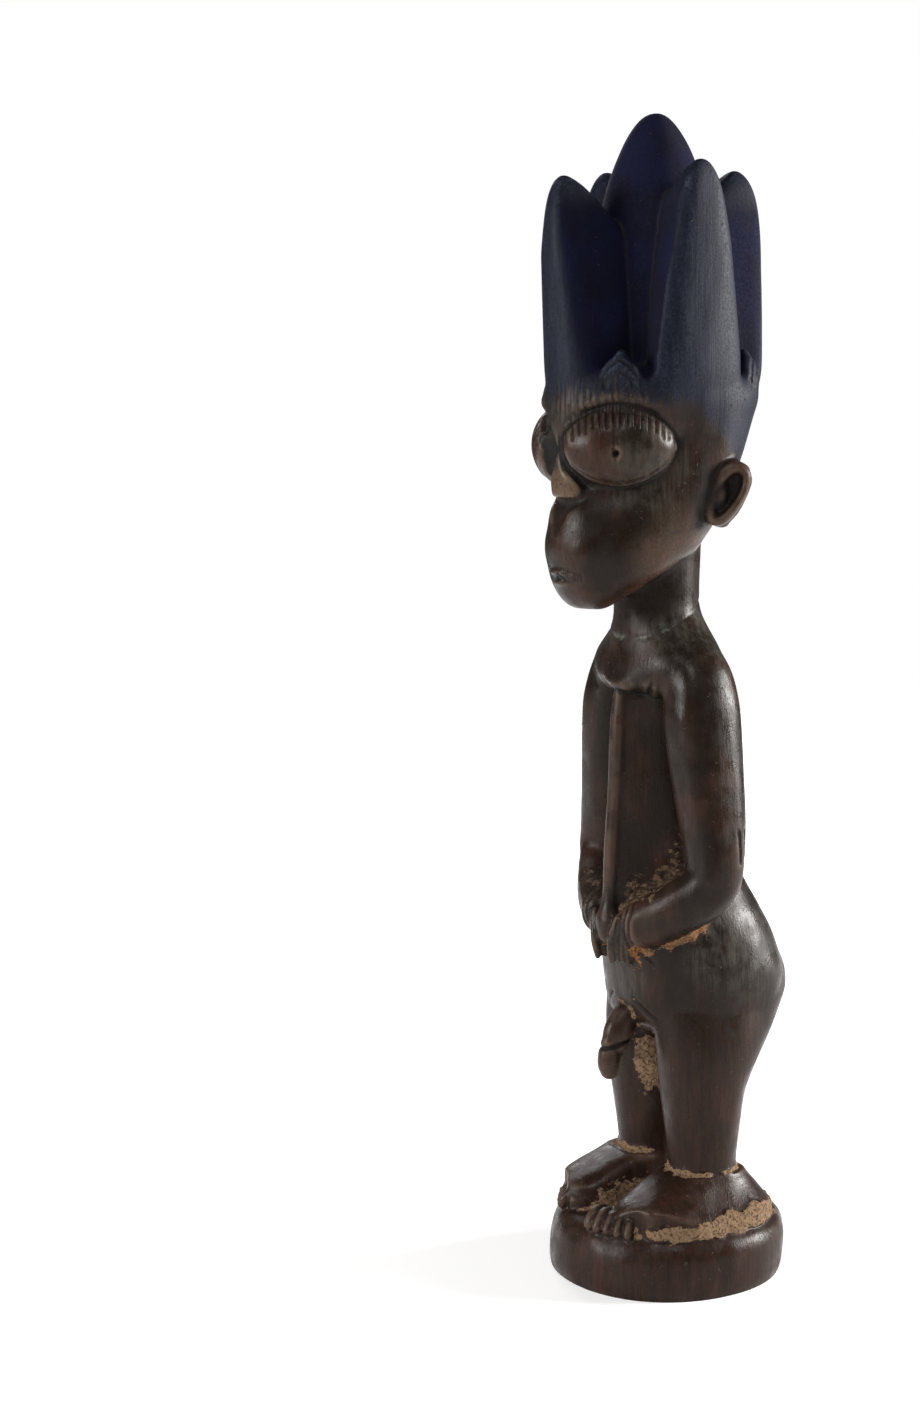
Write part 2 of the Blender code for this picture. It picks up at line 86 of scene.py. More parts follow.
# Grid of rings to triangles: each cell is cut in two, and each end ring is closed by a fan to its middle.
def addSkin(block, rings):
    rows, sides = rings.shape[:2]
    at = sum(len(points) for points in block["points"])
    grid = at + np.arange(rows * sides).reshape(rows, sides)
    turned = np.roll(grid, -1, 1)
    last = at + rows * sides
    block["points"].append(np.vstack([rings.reshape(-1, 3), rings[0].mean(0), rings[-1].mean(0)]))
    walls = [
        np.stack([grid[:-1], turned[:-1], turned[1:]], -1),
        np.stack([grid[:-1], turned[1:], grid[1:]], -1),
        np.stack([turned[:1], grid[:1], np.full((1, sides), last)], -1),
        np.stack([grid[-1:], turned[-1:], np.full((1, sides), last + 1)], -1),
    ]
    block["triangles"] += [wall.reshape(-1, 3) for wall in walls]


# Level sections: each row is z, front y, back y, half width, wedge, squareness and lean in x.
# A section is a superellipse, |x/w|^n + |y/d|^n = 1, whose width grows by the wedge from front to back.
def addStack(block, rows, x=0.0, side=1, sides=96):
    z, front, back, halfWidth, wedge, square, lean = (k[:, None] for k in smoothRows(rows).T)
    turn = np.linspace(0, 2 * np.pi, sides, endpoint=False)[None, :]
    c, s = np.cos(turn), np.sin(turn)
    across = np.sign(c) * np.abs(c) ** (2 / square) * halfWidth * (1 + wedge * s)
    along = np.sign(s) * np.abs(s) ** (2 / square) * (back - front) / 2
    rings = [side * (x + lean + across), (front + back) / 2 + along, z + 0 * across]
    addSkin(block, np.stack(rings, -1))


# Superellipse swept along a path: each row is x, y, z and the half sizes across the path and along up.
# The ends are domes, made of rings that shrink by the cosine as they move on by the sine.
def addLimb(block, rows, up=(0, 0, 1), side=1, sides=48, steps=8, square=2.0):
    rows = smoothRows(rows, steps)
    path, sizes = rows[:, :3], np.maximum(rows[:, 3:5], 0.2)
    ahead = np.gradient(path, axis=0)
    ahead /= np.linalg.norm(ahead, axis=1)[:, None]
    across = np.cross(np.array(up, float), ahead)
    across /= np.linalg.norm(across, axis=1)[:, None]
    raised = np.cross(ahead, across)
    turn = np.linspace(0, 2 * np.pi, sides, endpoint=False)
    c, s = np.cos(turn), np.sin(turn)
    c, s = (np.sign(k) * np.abs(k) ** (2 / square) for k in (c, s))
    dome = np.radians(np.linspace(84, 12, 7))
    index = np.concatenate([np.zeros(7, int), np.arange(len(rows)), np.full(7, len(rows) - 1)])
    shift = np.concatenate([-np.sin(dome), np.zeros(len(rows)), np.sin(dome[::-1])])
    share = np.concatenate([np.cos(dome), np.ones(len(rows)), np.cos(dome[::-1])])
    reach = sizes[index].min(1) * shift
    middle = path[index] + ahead[index] * reach[:, None]
    wide = (sizes[index, 0] * share)[:, None, None] * across[index][:, None, :] * c[None, :, None]
    tall = (sizes[index, 1] * share)[:, None, None] * raised[index][:, None, :] * s[None, :, None]
    addSkin(block, (middle[:, None, :] + wide + tall) * (side, 1, 1))


# Ellipsoid: a sphere by latitude and longitude, scaled by the sizes and turned onto the axes.
def addEgg(block, centre, sizes, axes=None, side=1, sides=64):
    axes = np.eye(3) if axes is None else np.array(axes, float)
    tilt = np.radians(np.linspace(-86, 86, sides // 2))[:, None]
    turn = np.linspace(0, 2 * np.pi, sides, endpoint=False)[None, :]
    ball = [np.cos(turn) * np.cos(tilt), np.sin(turn) * np.cos(tilt), np.sin(tilt) + 0 * turn]
    addSkin(block, (np.array(centre) + (np.stack(ball, -1) * sizes) @ axes) * (side, 1, 1))


def addBase(block):
    insets = [(-2.5, 0.9), (0.0, 0.6), (1.6, 0.2), (4.0, 0.0), (8.0, 0.0), (11.0, 0.5)]
    insets += [(13.4, 1.9), (baseTop, 4.6), (baseTop + 0.7, 10.0), (baseTop + 1.0, 18.0)]
    rows = []
    for z, inset in insets:
        radius = figure["baseRadius"] - inset
        shift = -0.1 * max(12.0 - z, 0.0)
        rows.append((z, shift - radius, shift + radius, radius, 0, 2.1, 0))
    addStack(block, rows, sides=128)


# Level sections again, each row z, front y, back y, inner x, outer x. No point stands out past the
# base's edge: its distance from the middle is cut off there. The toes fan out along that edge.
def addFoot(block, side):
    rows = [
        (baseTop - 1.5, -24.6, 18.2, 2.2, 25.0),
        (baseTop + 2.0, -24.4, 18.4, 2.2, 25.2),
        (baseTop + 3.8, -22.8, 17.8, 2.5, 24.6),
        (baseTop + 5.6, -20.6, 16.6, 2.9, 23.2),
        (baseTop + 7.6, -16.8, 15.0, 3.0, 21.6),
        (baseTop + 9.4, -12.8, 13.6, 3.0, 20.4),
        (baseTop + 10.8, -9.4, 12.6, 3.0, 19.8),
        (baseTop + 11.8, -6.6, 12.0, 3.2, 19.4),
    ]
    z, front, back, inner, outer = (k[:, None] for k in smoothRows(rows).T)
    front = front - (1.6 * smoothStep(baseTop + 3, baseTop + 6, z) if side < 0 else 0)
    turn = np.linspace(0, 2 * np.pi, 96, endpoint=False)[None, :]
    c, s = (np.sign(k) * np.abs(k) ** 0.68 for k in (np.cos(turn), np.sin(turn)))
    x = (inner + outer) / 2 + c * (outer - inner) / 2
    y = (front + back) / 2 + s * (back - front) / 2
    atToes = smoothStep(48, 36, np.degrees(np.arctan2(x, -y)))
    kept = np.minimum(1, (figure["baseRadius"] - 2.2 - 1.8 * atToes) / np.maximum(np.hypot(x, y + 0.6), 1))
    addSkin(block, np.stack([side * x * kept, (y + 0.6) * kept - 0.6, z + 0 * x], -1))
    for i in range(5):
        heading = np.radians(9.0 + 6.2 * i if side > 0 else 26.0 + 6.6 * i)
        out = np.array([side * np.sin(heading), -np.cos(heading), 0])
        thick = 1.25 - 0.04 * i
        places = [(21.6, 18.2), (23.8, 18.2), (25.6, 17.0), (26.6, 15.4)]
        path = [(*(out * r)[:2], z - 0.12 * i, thick, 1.3) for r, z in places]
        addLimb(block, path, sides=24)


def addLeg(block, side):
    rows = [
        (baseTop + 3, -5.4, 10.0, 7.7, 0, 2.1, 0),
        (ankle, -5.8, 10.6, 8.1, 0, 2.1, 0),
        (ankle + 10, -6.9, 11.7, 9.3, 0, 2.1, 0),
        (ankle + 16, -7.7, 12.5, 10.1, 0, 2.1, 0),
        (ankle + 21, -8.4, 14.4, 10.6, 0, 2.1, 0),
        (ankle + 26, -9.0, 17.4, 10.8, 0, 2.1, 0),
        (crotch, -9.6, 21.0, 10.6, 0, 2.1, -0.2),
        (crotch + 6, -9.8, 24.8, 10.2, 0, 2.1, -0.6),
        (hip, -9.4, 27.0, 9.6, 0, 2.1, -1.0),
        (hip + 6, -8.4, 26.4, 8.6, 0, 2.1, -1.8),
        (hip + 12, -6.0, 22.4, 7.0, 0, 2.1, -2.8),
    ]
    addStack(block, rows, x=figure["legX"], side=side)


def addHips(block):
    rows = [
        (crotch + 1, -9.0, 21.0, 17.0, 0.05, 2.2, 0),
        (crotch + 4, -12.0, 24.6, 19.4, 0.05, 2.3, 0),
        (crotch + 8, -13.4, 27.2, 20.6, 0.05, 2.3, 0),
        (hip + 1, -14.0, 28.2, 21.0, 0.05, 2.3, 0),
        (hip + 5, -14.6, 28.2, 20.8, 0.05, 2.3, 0),
        (hip + 9, -15.2, 26.8, 20.2, 0.05, 2.3, 0),
        (hip + 14, -16.0, 25.0, 19.2, 0.05, 2.3, 0),
        (hip + 19, -16.2, 22.4, 17.8, 0.05, 2.3, 0),
        (hip + 23, -14.6, 20.2, 16.0, 0.05, 2.2, 0),
        (waist + 1, -10.0, 17.4, 13.6, 0.05, 2.2, 0),
        (waist + 5, -4.0, 13.6, 10.8, 0.05, 2.2, 0),
        (waist + 9, -1.0, 9.8, 7.6, 0.05, 2.2, 0),
    ]
    addStack(block, rows)


def addTorso(block):
    keel = [
        (waist - 14, -17.0, 12.0, 9.4, 0.5, 1.8, 0),
        (waist - 6, -18.4, 10.0, 9.2, 0.5, 1.75, 0),
        (waist + 8, -17.6, 8.2, 9.0, 0.5, 1.7, 0),
        (waist + 24, -16.6, 7.2, 8.8, 0.5, 1.7, 0),
        (armpit - 10, -15.8, 7.0, 8.8, 0.5, 1.7, 0),
        (armpit, -15.2, 7.0, 9.8, 0.45, 1.75, 0),
        (armpit + 6, -12.6, 6.6, 11.0, 0.4, 1.8, 0),
    ]
    back = [
        (waist - 6, -2.0, 14.0, 10.6, 0, 2.6, 0),
        (waist + 4, -2.0, 10.6, 10.0, 0, 2.6, 0),
        (waist + 14, -2.0, 8.8, 9.8, 0, 2.6, 0),
        (armpit - 18, -2.0, 8.4, 10.0, 0, 2.6, 0),
        (armpit - 8, -2.0, 8.6, 11.4, 0, 2.6, 0),
        (armpit, -2.0, 8.8, 14.0, 0, 2.5, 0),
        (armpit + 8, -2.0, 8.6, 16.0, 0, 2.3, 0),
    ]
    addStack(block, keel)
    addStack(block, back)
    rib = [
        (0, -13.2, armpit + 1, 2.3, 2.2),
        (0, -14.3, armpit - 8, 2.3, 2.0),
        (0, -15.2, waist + 24, 2.3, 1.9),
        (0, -16.5, waist + 6, 2.2, 1.9),
        (0, -17.0, waist - 4, 2.2, 2.0),
        (0, -17.4, waist - 9, 3.7, 3.0),
        (0, -17.2, waist - 12.5, 3.2, 2.8),
    ]
    addLimb(block, rib, up=(0, -1, 0))


def addYoke(block):
    rows = [
        (armpit - 0.5, -14.8, -4.0, 6.0, 0.2, 2.0, 0),
        (armpit + 0.6, -15.6, 0.0, 10.0, 0.2, 2.0, 0),
        (armpit + 2.4, -15.6, 5.0, 15.0, 0.1, 2.0, 0),
        (armpit + 5.5, -14.4, 7.8, 20.2, 0, 2.5, 0),
        (armpit + 8.5, -13.8, 8.4, 19.6, 0, 2.4, 0),
        (neckFoot - 2.0, -13.4, 8.8, 17.2, 0, 2.2, 0),
        (neckFoot + 0.5, -13.6, 8.6, 14.4, 0, 2.0, 0),
        (neckFoot + 3.0, -13.6, 8.0, 12.0, 0, 2.0, 0),
        (neckFoot + 5.5, -13.6, 7.0, 10.4, 0, 2.0, 0),
    ]
    addStack(block, rows)
    for side in (-1, 1):
        addEgg(block, (6.8, -8.0, armpit + 4.2), (8.6, 6.2, 6.0), side=side)


def addNeck(block):
    y = figure["neckY"]
    sizes = [(neckFoot - 6, 10.6), (chin, 10.3), (chin + 8, 10.4), (chin + 22, 11.0)]
    addStack(block, [(z, y - r, y + r, r, 0, 2.0, 0) for z, r in sizes])


def addHead(block):
    rows = [
        (chin - 0.4, -25.4, -20.6, 3.2, 0, 2.0, 0),
        (chin + 0.8, -27.2, -18.0, 6.6, 0, 2.0, 0),
        (chin + 2.8, -28.8, -15.0, 9.6, 0, 2.1, 0),
        (chin + 6.0, -30.2, -9.0, 12.6, 0.03, 2.15, 0),
        (chin + 9.5, -31.2, -2.6, 14.8, 0.05, 2.15, 0),
        (chin + 13, -32.2, 3.6, 16.2, 0.08, 2.15, 0),
        (chin + 16, -32.4, 6.2, 17.0, 0.12, 2.1, 0),
        (chin + 19, -31.8, 8.0, 17.6, 0.17, 2.1, 0),
        (chin + 23, -31.2, 10.0, 18.2, 0.23, 2.05, 0),
        (chin + 27, -29.6, 12.0, 18.7, 0.28, 2.0, 0),
        (eye - 6, -28.6, 15.0, 19.2, 0.31, 2.0, 0),
        (eye, -28.8, 17.2, 19.9, 0.29, 2.0, 0),
        (eye + 5, -31.2, 19.0, 20.7, 0.20, 2.1, 0),
        (hairline - 2, -31.9, 20.6, 21.4, 0.10, 2.2, 0),
        (hairline + 1.5, -31.5, 20.8, 21.2, 0.06, 2.15, 0),
        (hairline + 4, -29.6, 18.6, 19.4, 0.04, 2.0, 0),
        (hairline + 6, -22.0, 13.0, 14.0, 0, 2.0, 0),
    ]
    addStack(block, rows, sides=128)


def addFace(block, side):
    along = np.array([0.55, 0.835, 0.0])
    outward = np.array([along[1], -along[0], 0.0])
    addEgg(block, (9.2, -20.4, eye - 1.2), (13.6, 9.0, 10.6), [along, outward, (0, 0, 1)], side)


def addNose(block):
    rows = [
        (0, -30.4, eye + 9, 6.0, 1.6),
        (0, -30.2, eye + 5, 4.6, 1.8),
        (0, -29.6, eye, 2.4, 2.0),
        (0, -29.2, eye - 4.0, 2.9, 2.3),
        (0, -28.5, eye - 8.4, 5.4, 3.1),
        (0, -28.2, eye - 11.8, 5.7, 3.0),
    ]
    addLimb(block, rows, up=(0, -1, 0))


def addMouth(block):
    for z, y in ((chin + 8.6, -30.6), (chin + 6.2, -29.8)):
        path = [(-4.4, y + 1.0, z, 1.0, 1.0), (0, y, z, 1.1, 1.1), (4.4, y + 1.0, z, 1.0, 1.0)]
        addLimb(block, path, sides=24)


# A leaf-shaped plate with a thick rim. The rim's path is an ellipse that leans outwards as it rises.
def addEar(block, side):
    outward = np.array([0.50, 0.866, 0.0])
    facing = np.array([0.866, -0.50, 0.0])
    middle = outward * 12.9 + facing * 16.2 + np.array([0, 0, eye - 12.2])
    lean = outward * 0.36 + np.array([0, 0, 1.0])
    rise = np.array([-6.8, -3.8, 0.0, 3.6, 5.6])
    plate = np.column_stack([
        middle - facing * 2.2 + np.outer(rise, lean),
        (2.8, 4.2, 4.7, 4.5, 3.2),
        (1.7, 1.9, 2.0, 1.9, 1.6),
    ])
    addLimb(block, plate, up=facing, side=side)
    turn = np.radians(np.linspace(-90, 270, 25))
    lift = np.sin(turn)
    across = (3.7 + 0.5 * lift) * np.cos(turn) - 0.5
    path = middle + np.outer(across, outward) + np.outer(6.1 * lift - 0.7, lean)
    thick = 1.6 + 0.1 * lift - 0.35 * np.cos(turn)
    addLimb(block, np.column_stack([path, thick, 2.1 + 0 * thick]), up=facing, side=side, sides=32)
    addEgg(block, (16.4, 1.0, eye - 12.2), (4.4, 4.4, 6.4), side=side)


# One lobe: level sections between an outer face and an inner edge that slopes in to the crown. With
# t from foot to tip, the outer face closes by (1 - t^12)^0.55 and the breadth by (1 - t^8)^0.45. The
# half breadth of the outer face and of the inner edge each go from a foot value to a tip value. The
# outer face is sunk at its foot by footSink.
def addHorn(block, heading, outerBreadth, innerBreadth, reaches, bow, tip, footSink=2.8, sides=96):
    heading = np.array(heading, float)
    beside = np.array([-heading[1], heading[0]])
    footLevel = hairline - 10.0
    footReach, reach, tipReach = reaches
    turn = np.linspace(0, 2 * np.pi, sides, endpoint=False)[None, :]
    c, s = np.cos(turn), np.sin(turn)
    share = (1 - (1 - np.linspace(0, 0.997, 90)) ** 1.6)[:, None]
    level = footLevel + (tip - footLevel) * share
    sunk = footSink * (1 - np.minimum(share / 0.24, 1)) ** 1.3
    face = footReach + (reach - footReach) * np.minimum(share / 0.7, 1)
    outer = tipReach + (face - tipReach) * (1 - share**12) ** 0.55 - sunk
    inner = np.maximum(8.0, tipReach - 2.6 * (1 - share**16) ** 0.5 - 0.98 * (tip - level))
    closing = (1 - share**8) ** 0.45
    outside = outerBreadth[1] + (outerBreadth[0] - outerBreadth[1]) * (1 - share) ** outerBreadth[2]
    inside = innerBreadth[1] + (innerBreadth[0] - innerBreadth[1]) * (1 - share)
    radial = (outer + inner) / 2 + np.sign(s) * np.abs(s) ** 0.52 * (outer - inner) / 2
    breadth = (inside + (outside - inside) * (1 + s) / 2) * closing
    aside = np.sign(c) * np.abs(c) ** 0.52 * breadth
    radial = radial - np.clip(s + 0.4, 0, 1) * aside**2 / (2 * bow)
    x = radial * heading[0] + aside * beside[0]
    y = radial * heading[1] + aside * beside[1] + figure["hairY"]
    addSkin(block, np.stack([x, y, level + 0 * x], -1))


def addCrown(block):
    rows = []
    for share in 1 - (1 - np.linspace(0, 0.998, 24)) ** 2:
        drop = (crownTip - hairline) * (1 - share)
        radius = np.minimum(2.85 * drop**0.49, 11.6 + 0.04 * drop)
        y = figure["crownY"]
        rows.append((crownTip - drop, y - radius, y + radius, radius, 0, 2.0, 0))
    addStack(block, rows)


def addHair(block):
    depth, width = figure["rimHalfDepth"], figure["rimHalfWidth"]
    reaches = (depth, depth + 2.4, depth - 2.4)
    addHorn(block, (0, -1), (12.0, 3.4, 1.0), (8.0, 4.6), reaches, 20.0, hornTip - 2.6)
    reaches = (depth + 0.6, depth + 2.0, depth - 4.0)
    addHorn(block, (0, 1), (13.5, 4.6, 0.9), (9.5, 5.0), reaches, 20.0, hornTip, footSink=5.2)
    reaches = (width, width, width - 2.6)
    for side in (-1, 1):
        addHorn(block, (side, 0), (17.4, 6.2, 0.8), (7.5, 4.2), reaches, 34.0, hornTip + 0.4)
    addCrown(block)
    for side in (-1, 1):
        for ahead in (-1, 1):
            y = figure["hairY"] - 18.6 * ahead
            mound = [
                (11.8, y + 2.0 * ahead, hairline - 1, 5.6, 2.4),
                (12.9, y + 0.8 * ahead, hairline + 1.6, 6.0, 2.8),
                (12.9, y + 0.8 * ahead, hairline + 4.4, 5.2, 2.7),
                (12.6, y + 1.0 * ahead, hairline + 7.0, 3.5, 2.2),
                (12.3, y + 1.3 * ahead, hairline + 8.8, 1.4, 1.4),
            ]
            addLimb(block, mound, up=(0.72, -0.69 * ahead, 0), side=side)


def addArm(block, side):
    upper = [
        (12.6, -1.8, armpit + 8.0, 4.4, 5.8),
        (figure["shoulderX"], -2.0, armpit + 5.0, 6.4, 8.0),
        (16.4, -2.1, armpit + 1, 7.3, 8.8),
        (17.2, -2.4, armpit - 4, 7.5, 9.2),
        (18.5, -2.3, armpit - 14, 7.5, 9.0),
        (20.6, -2.1, waist + 19, 7.3, 8.0),
        (22.4, -2.4, waist + 8, 7.0, 6.9),
        (figure["elbowX"], -3.0, waist + 3.5, 6.4, 6.4),
    ]
    addLimb(block, upper, up=(0, 1, 0), side=side, square=2.35)
    lower = [
        (figure["elbowX"], -2.6, waist + 3.0, 6.3, 6.3),
        (20.6, -5.0, waist - 0.8, 6.5, 6.5),
        (16.0, -8.4, waist - 4.4, 6.5, 6.5),
        (11.8, -11.2, waist - 7.2, 6.1, 6.3),
        (8.8, -13.4, waist - 9.0, 5.2, 5.8),
    ]
    addLimb(block, lower, side=side, square=2.35)


def addHand(block, side):
    outward = np.array([0.55, -0.835, 0.0])
    across = np.array([0.835, 0.55, 0.0])
    palm = [
        (8.4, -14.6, waist - 8.6, 4.6, 3.4),
        (6.2, -15.8, waist - 11.5, 4.2, 2.8),
        (5.0, -16.2, waist - 15.0, 3.4, 2.3),
        (4.4, -16.0, waist - 17.6, 2.6, 1.6),
    ]
    addLimb(block, palm, up=outward, side=side)
    for i in range(4):
        aside = across * (1.15 * i - 3.2)
        path = [
            (*(np.array([7.4, -16.4, waist - 7.4]) + aside), 0.62, 0.9),
            (*(np.array([6.6, -17.4, waist - 11.0]) + aside), 0.66, 0.95),
            (*(np.array([5.8, -17.7, waist - 15.0]) + aside), 0.66, 0.9),
            (*(np.array([5.2, -17.2, waist - 18.6 + 0.3 * i]) + aside * 0.9), 0.6, 0.8),
        ]
        addLimb(block, path, up=outward, side=side, sides=20)


def addLoins(block):
    shaft = [
        (0, -9.4, crotch + 7.2, 3.0, 2.8),
        (0, -12.8, crotch + 4.2, 3.4, 3.5),
        (0, -14.8, crotch + 0.6, 3.3, 3.8),
        (0, -15.6, crotch - 2.6, 2.8, 3.2),
    ]
    knob = [
        (0, -16.4, crotch + 0.5, 2.0, 2.0),
        (0, -17.2, crotch - 3.2, 2.5, 2.6),
        (0, -17.6, crotch - 6.6, 2.6, 2.7),
        (0, -17.4, crotch - 8.6, 2.1, 2.2),
    ]
    addLimb(block, shaft, up=(0, 1, 0))
    addLimb(block, knob, up=(0, 1, 0))


def roughBlock():
    block = {"points": [], "triangles": []}
    once = (addBase, addHips, addTorso, addYoke, addNeck, addHead, addNose, addMouth, addHair, addLoins)
    for add in once:
        add(block)
    for side in (-1, 1):
        for add in (addFoot, addLeg, addArm, addHand, addFace, addEar):
            add(block, side)
    return np.vstack(block["points"]), np.vstack(block["triangles"])


def linked(name, data):
    thing = bpy.data.objects.new(name, data)
    bpy.context.scene.collection.objects.link(thing)
    return thing


def meshOf(name, points, faces):
    mesh = bpy.data.meshes.new(name)
    mesh.from_pydata((points * mm).tolist(), [], faces.tolist())
    mesh.validate()
    return mesh


def evaluated(thing):
    bpy.context.view_layer.update()
    graph = bpy.context.evaluated_depsgraph_get()
    return bpy.data.meshes.new_from_object(thing.evaluated_get(graph), depsgraph=graph)


# All forms melt into one skin of small squares, as a volume sees them.
def meltForms(points, triangles):
    mesh = meshOf("forms", points, triangles)
    thing = linked("forms", mesh)
    melt = thing.modifiers.new("melt", "REMESH")
    melt.mode = "VOXEL"
    melt.voxel_size = figure["voxel"] * mm
    skin = evaluated(thing)
    coords = np.empty(len(skin.vertices) * 3)
    skin.vertices.foreach_get("co", coords)
    corners = np.empty(len(skin.loops), int)
    skin.loops.foreach_get("vertex_index", corners)
    bpy.data.objects.remove(thing)
    bpy.data.meshes.remove(mesh)
    bpy.data.meshes.remove(skin)
    return coords.reshape(-1, 3) / mm, corners.reshape(-1, 4)


# Mean of each point's neighbours along the squares' edges.
def neighbourMean(values, quads):
    ends = np.concatenate([quads.ravel(), np.roll(quads, -1, 1).ravel()])
    others = np.concatenate([np.roll(quads, -1, 1).ravel(), quads.ravel()])
    count = np.bincount(ends, minlength=len(values))
    columns = values.reshape(len(values), -1)
    sums = [np.bincount(ends, columns[others, k], len(values)) for k in range(columns.shape[1])]
    return (np.stack(sums, 1) / count[:, None]).reshape(values.shape)


def softened(values, quads, times, share=0.5):
    for _ in range(times):
        values = values + share * (neighbourMean(values, quads) - values)
    return values


# Normal of a point: the sum of the crossed diagonals of the squares round it.
def normalsOf(points, quads):
    a, b, c, d = (points[quads[:, k]] for k in range(4))
    crossed = np.cross(c - a, d - b)
    sums = [np.bincount(quads.ravel(), np.repeat(crossed[:, k], 4), len(points)) for k in range(3)]
    summed = np.stack(sums, 1)
    return summed / np.maximum(np.linalg.norm(summed, axis=1), 1e-12)[:, None]


# Soft noise: a sum of plane waves in scattered directions, about -1 to 1. size is a bump's width in mm.
def waveNoise(points, size, seed, waves=18):
    rng = np.random.default_rng(seed)
    directions = rng.normal(size=(waves, 3))
    directions /= np.linalg.norm(directions, axis=1)[:, None]
    lengths = size * rng.uniform(1.4, 3.0, waves)
    phases = rng.uniform(0, 2 * np.pi, waves)
    angles = points @ (directions * (2 * np.pi / lengths)[:, None]).T + phases
    return np.sin(angles).sum(1) / np.sqrt(waves) * 1.2


print("figure: forms")
formPoints, formTriangles = roughBlock()
points, quads = meltForms(formPoints, formTriangles)
print("figure: melted to", len(points), "points")
points = softened(points, quads, 3)


# Softens the points many times by a share of their own. Only the squares that it touches are visited.
def softenWhere(points, quads, share, times):
    touched = share > 0.01
    inside = touched[quads].any(1)
    used, small = np.unique(quads[inside], return_inverse=True)
    small = small.reshape(-1, 4)
    moved, amount = points[used], np.where(touched, share, 0)[used][:, None]
    for _ in range(times):
        moved = moved + amount * (neighbourMean(moved, small) - moved)
    points = points.copy()
    points[used] = moved
    return points


# The knife leaves no steps where the lobes leave the head or the arms leave the shoulders.
def blendBands(points, quads):
    z, out = points[:, 2], np.abs(points[:, 0])
    low = hairline - 12 - 6 * smoothStep(-4, 8, points[:, 1])
    hairFoot = smoothStep(low, low + 5, z) * smoothStep(hairline + 9, hairline + 3, z)
    eyes = smoothStep(-4, -10, points[:, 1]) * smoothStep(hairline - 1, hairline - 3, z)
    along = np.abs(points[:, 1] - figure["hairY"])
    mounds = smoothStep(5.6, 4.0, np.abs((out - 13) * 0.69 - (along - 18.2) * 0.72))
    mounds = mounds * (out + along > 28) * smoothStep(hairline - 1, hairline + 1, z)
    points = softenWhere(points, quads, 0.6 * hairFoot * (1 - eyes) * (1 - 0.85 * mounds), 34)
    shoulders = smoothStep(armpit + 1.5, armpit + 5, z) * smoothStep(chin + 1, chin - 3, z)
    below = smoothStep(armpit - 6, armpit + 1.5, z) * smoothStep(chin + 1, chin - 3, z) * smoothStep(11.5, 14, out)
    points = softenWhere(points, quads, 0.7 * np.maximum(shoulders, below), 110)
    elbows = smoothStep(waist - 8, waist - 2, z) * smoothStep(waist + 16, waist + 9, z) * smoothStep(13, 17, out)
    return softenWhere(points, quads, 0.6 * elbows, 30)


points = blendBands(points, quads)
points[:, 2] = np.maximum(points[:, 2], 0)

# Sizes of the carved lines in millimetres: the eye's middle and corners on its plane, and depths of cuts.
carvingMarks = {
    "eyeMiddle": 0.2,
    "eyeCorner": -1.8,
    "eyeHalfWidth": 14.0,
    "lidRise": 9.8,
    "lidFall": 9.2,
    "lashes": 17,
    "lashDepth": 0.32,
    "lidDepth": 0.6,
    "pupilDepth": 1.4,
    "hairlineDepth": 0.12,
    "toolMarks": 0.07,
    "crustThickness": 0.35,
}


# Distance from 2-D points to a line of straight pieces, and how far along the line the nearest place is.
def distanceTo(path, flat):
    path = np.array(path, float)
    spans = path[1:] - path[:-1]
    lengths = np.linalg.norm(spans, axis=1)
    starts = np.concatenate([[0], np.cumsum(lengths)])
    best = np.full(len(flat), 1e9)
    along = np.zeros(len(flat))
    for start, span, length, done in zip(path[:-1], spans, lengths, starts):
        t = np.clip((flat - start) @ span / length**2, 0, 1)
        distance = np.linalg.norm(flat - start - t[:, None] * span, axis=1)
        closer = distance < best
        best = np.where(closer, distance, best)
        along = np.where(closer, (done + t * length) / starts[-1], along)
    return best, along


# Depth of a cut along a line: a rounded V, deepest on the line, that fades out at its two ends.
def cutDepth(path, flat, width, depth, fade=0.15):
    distance, along = distanceTo(path, flat)
    ends = smoothStep(0, fade, along) * smoothStep(0, fade, 1 - along) if fade else 1.0
    return depth * np.exp(-((distance / width) ** 2)) * ends


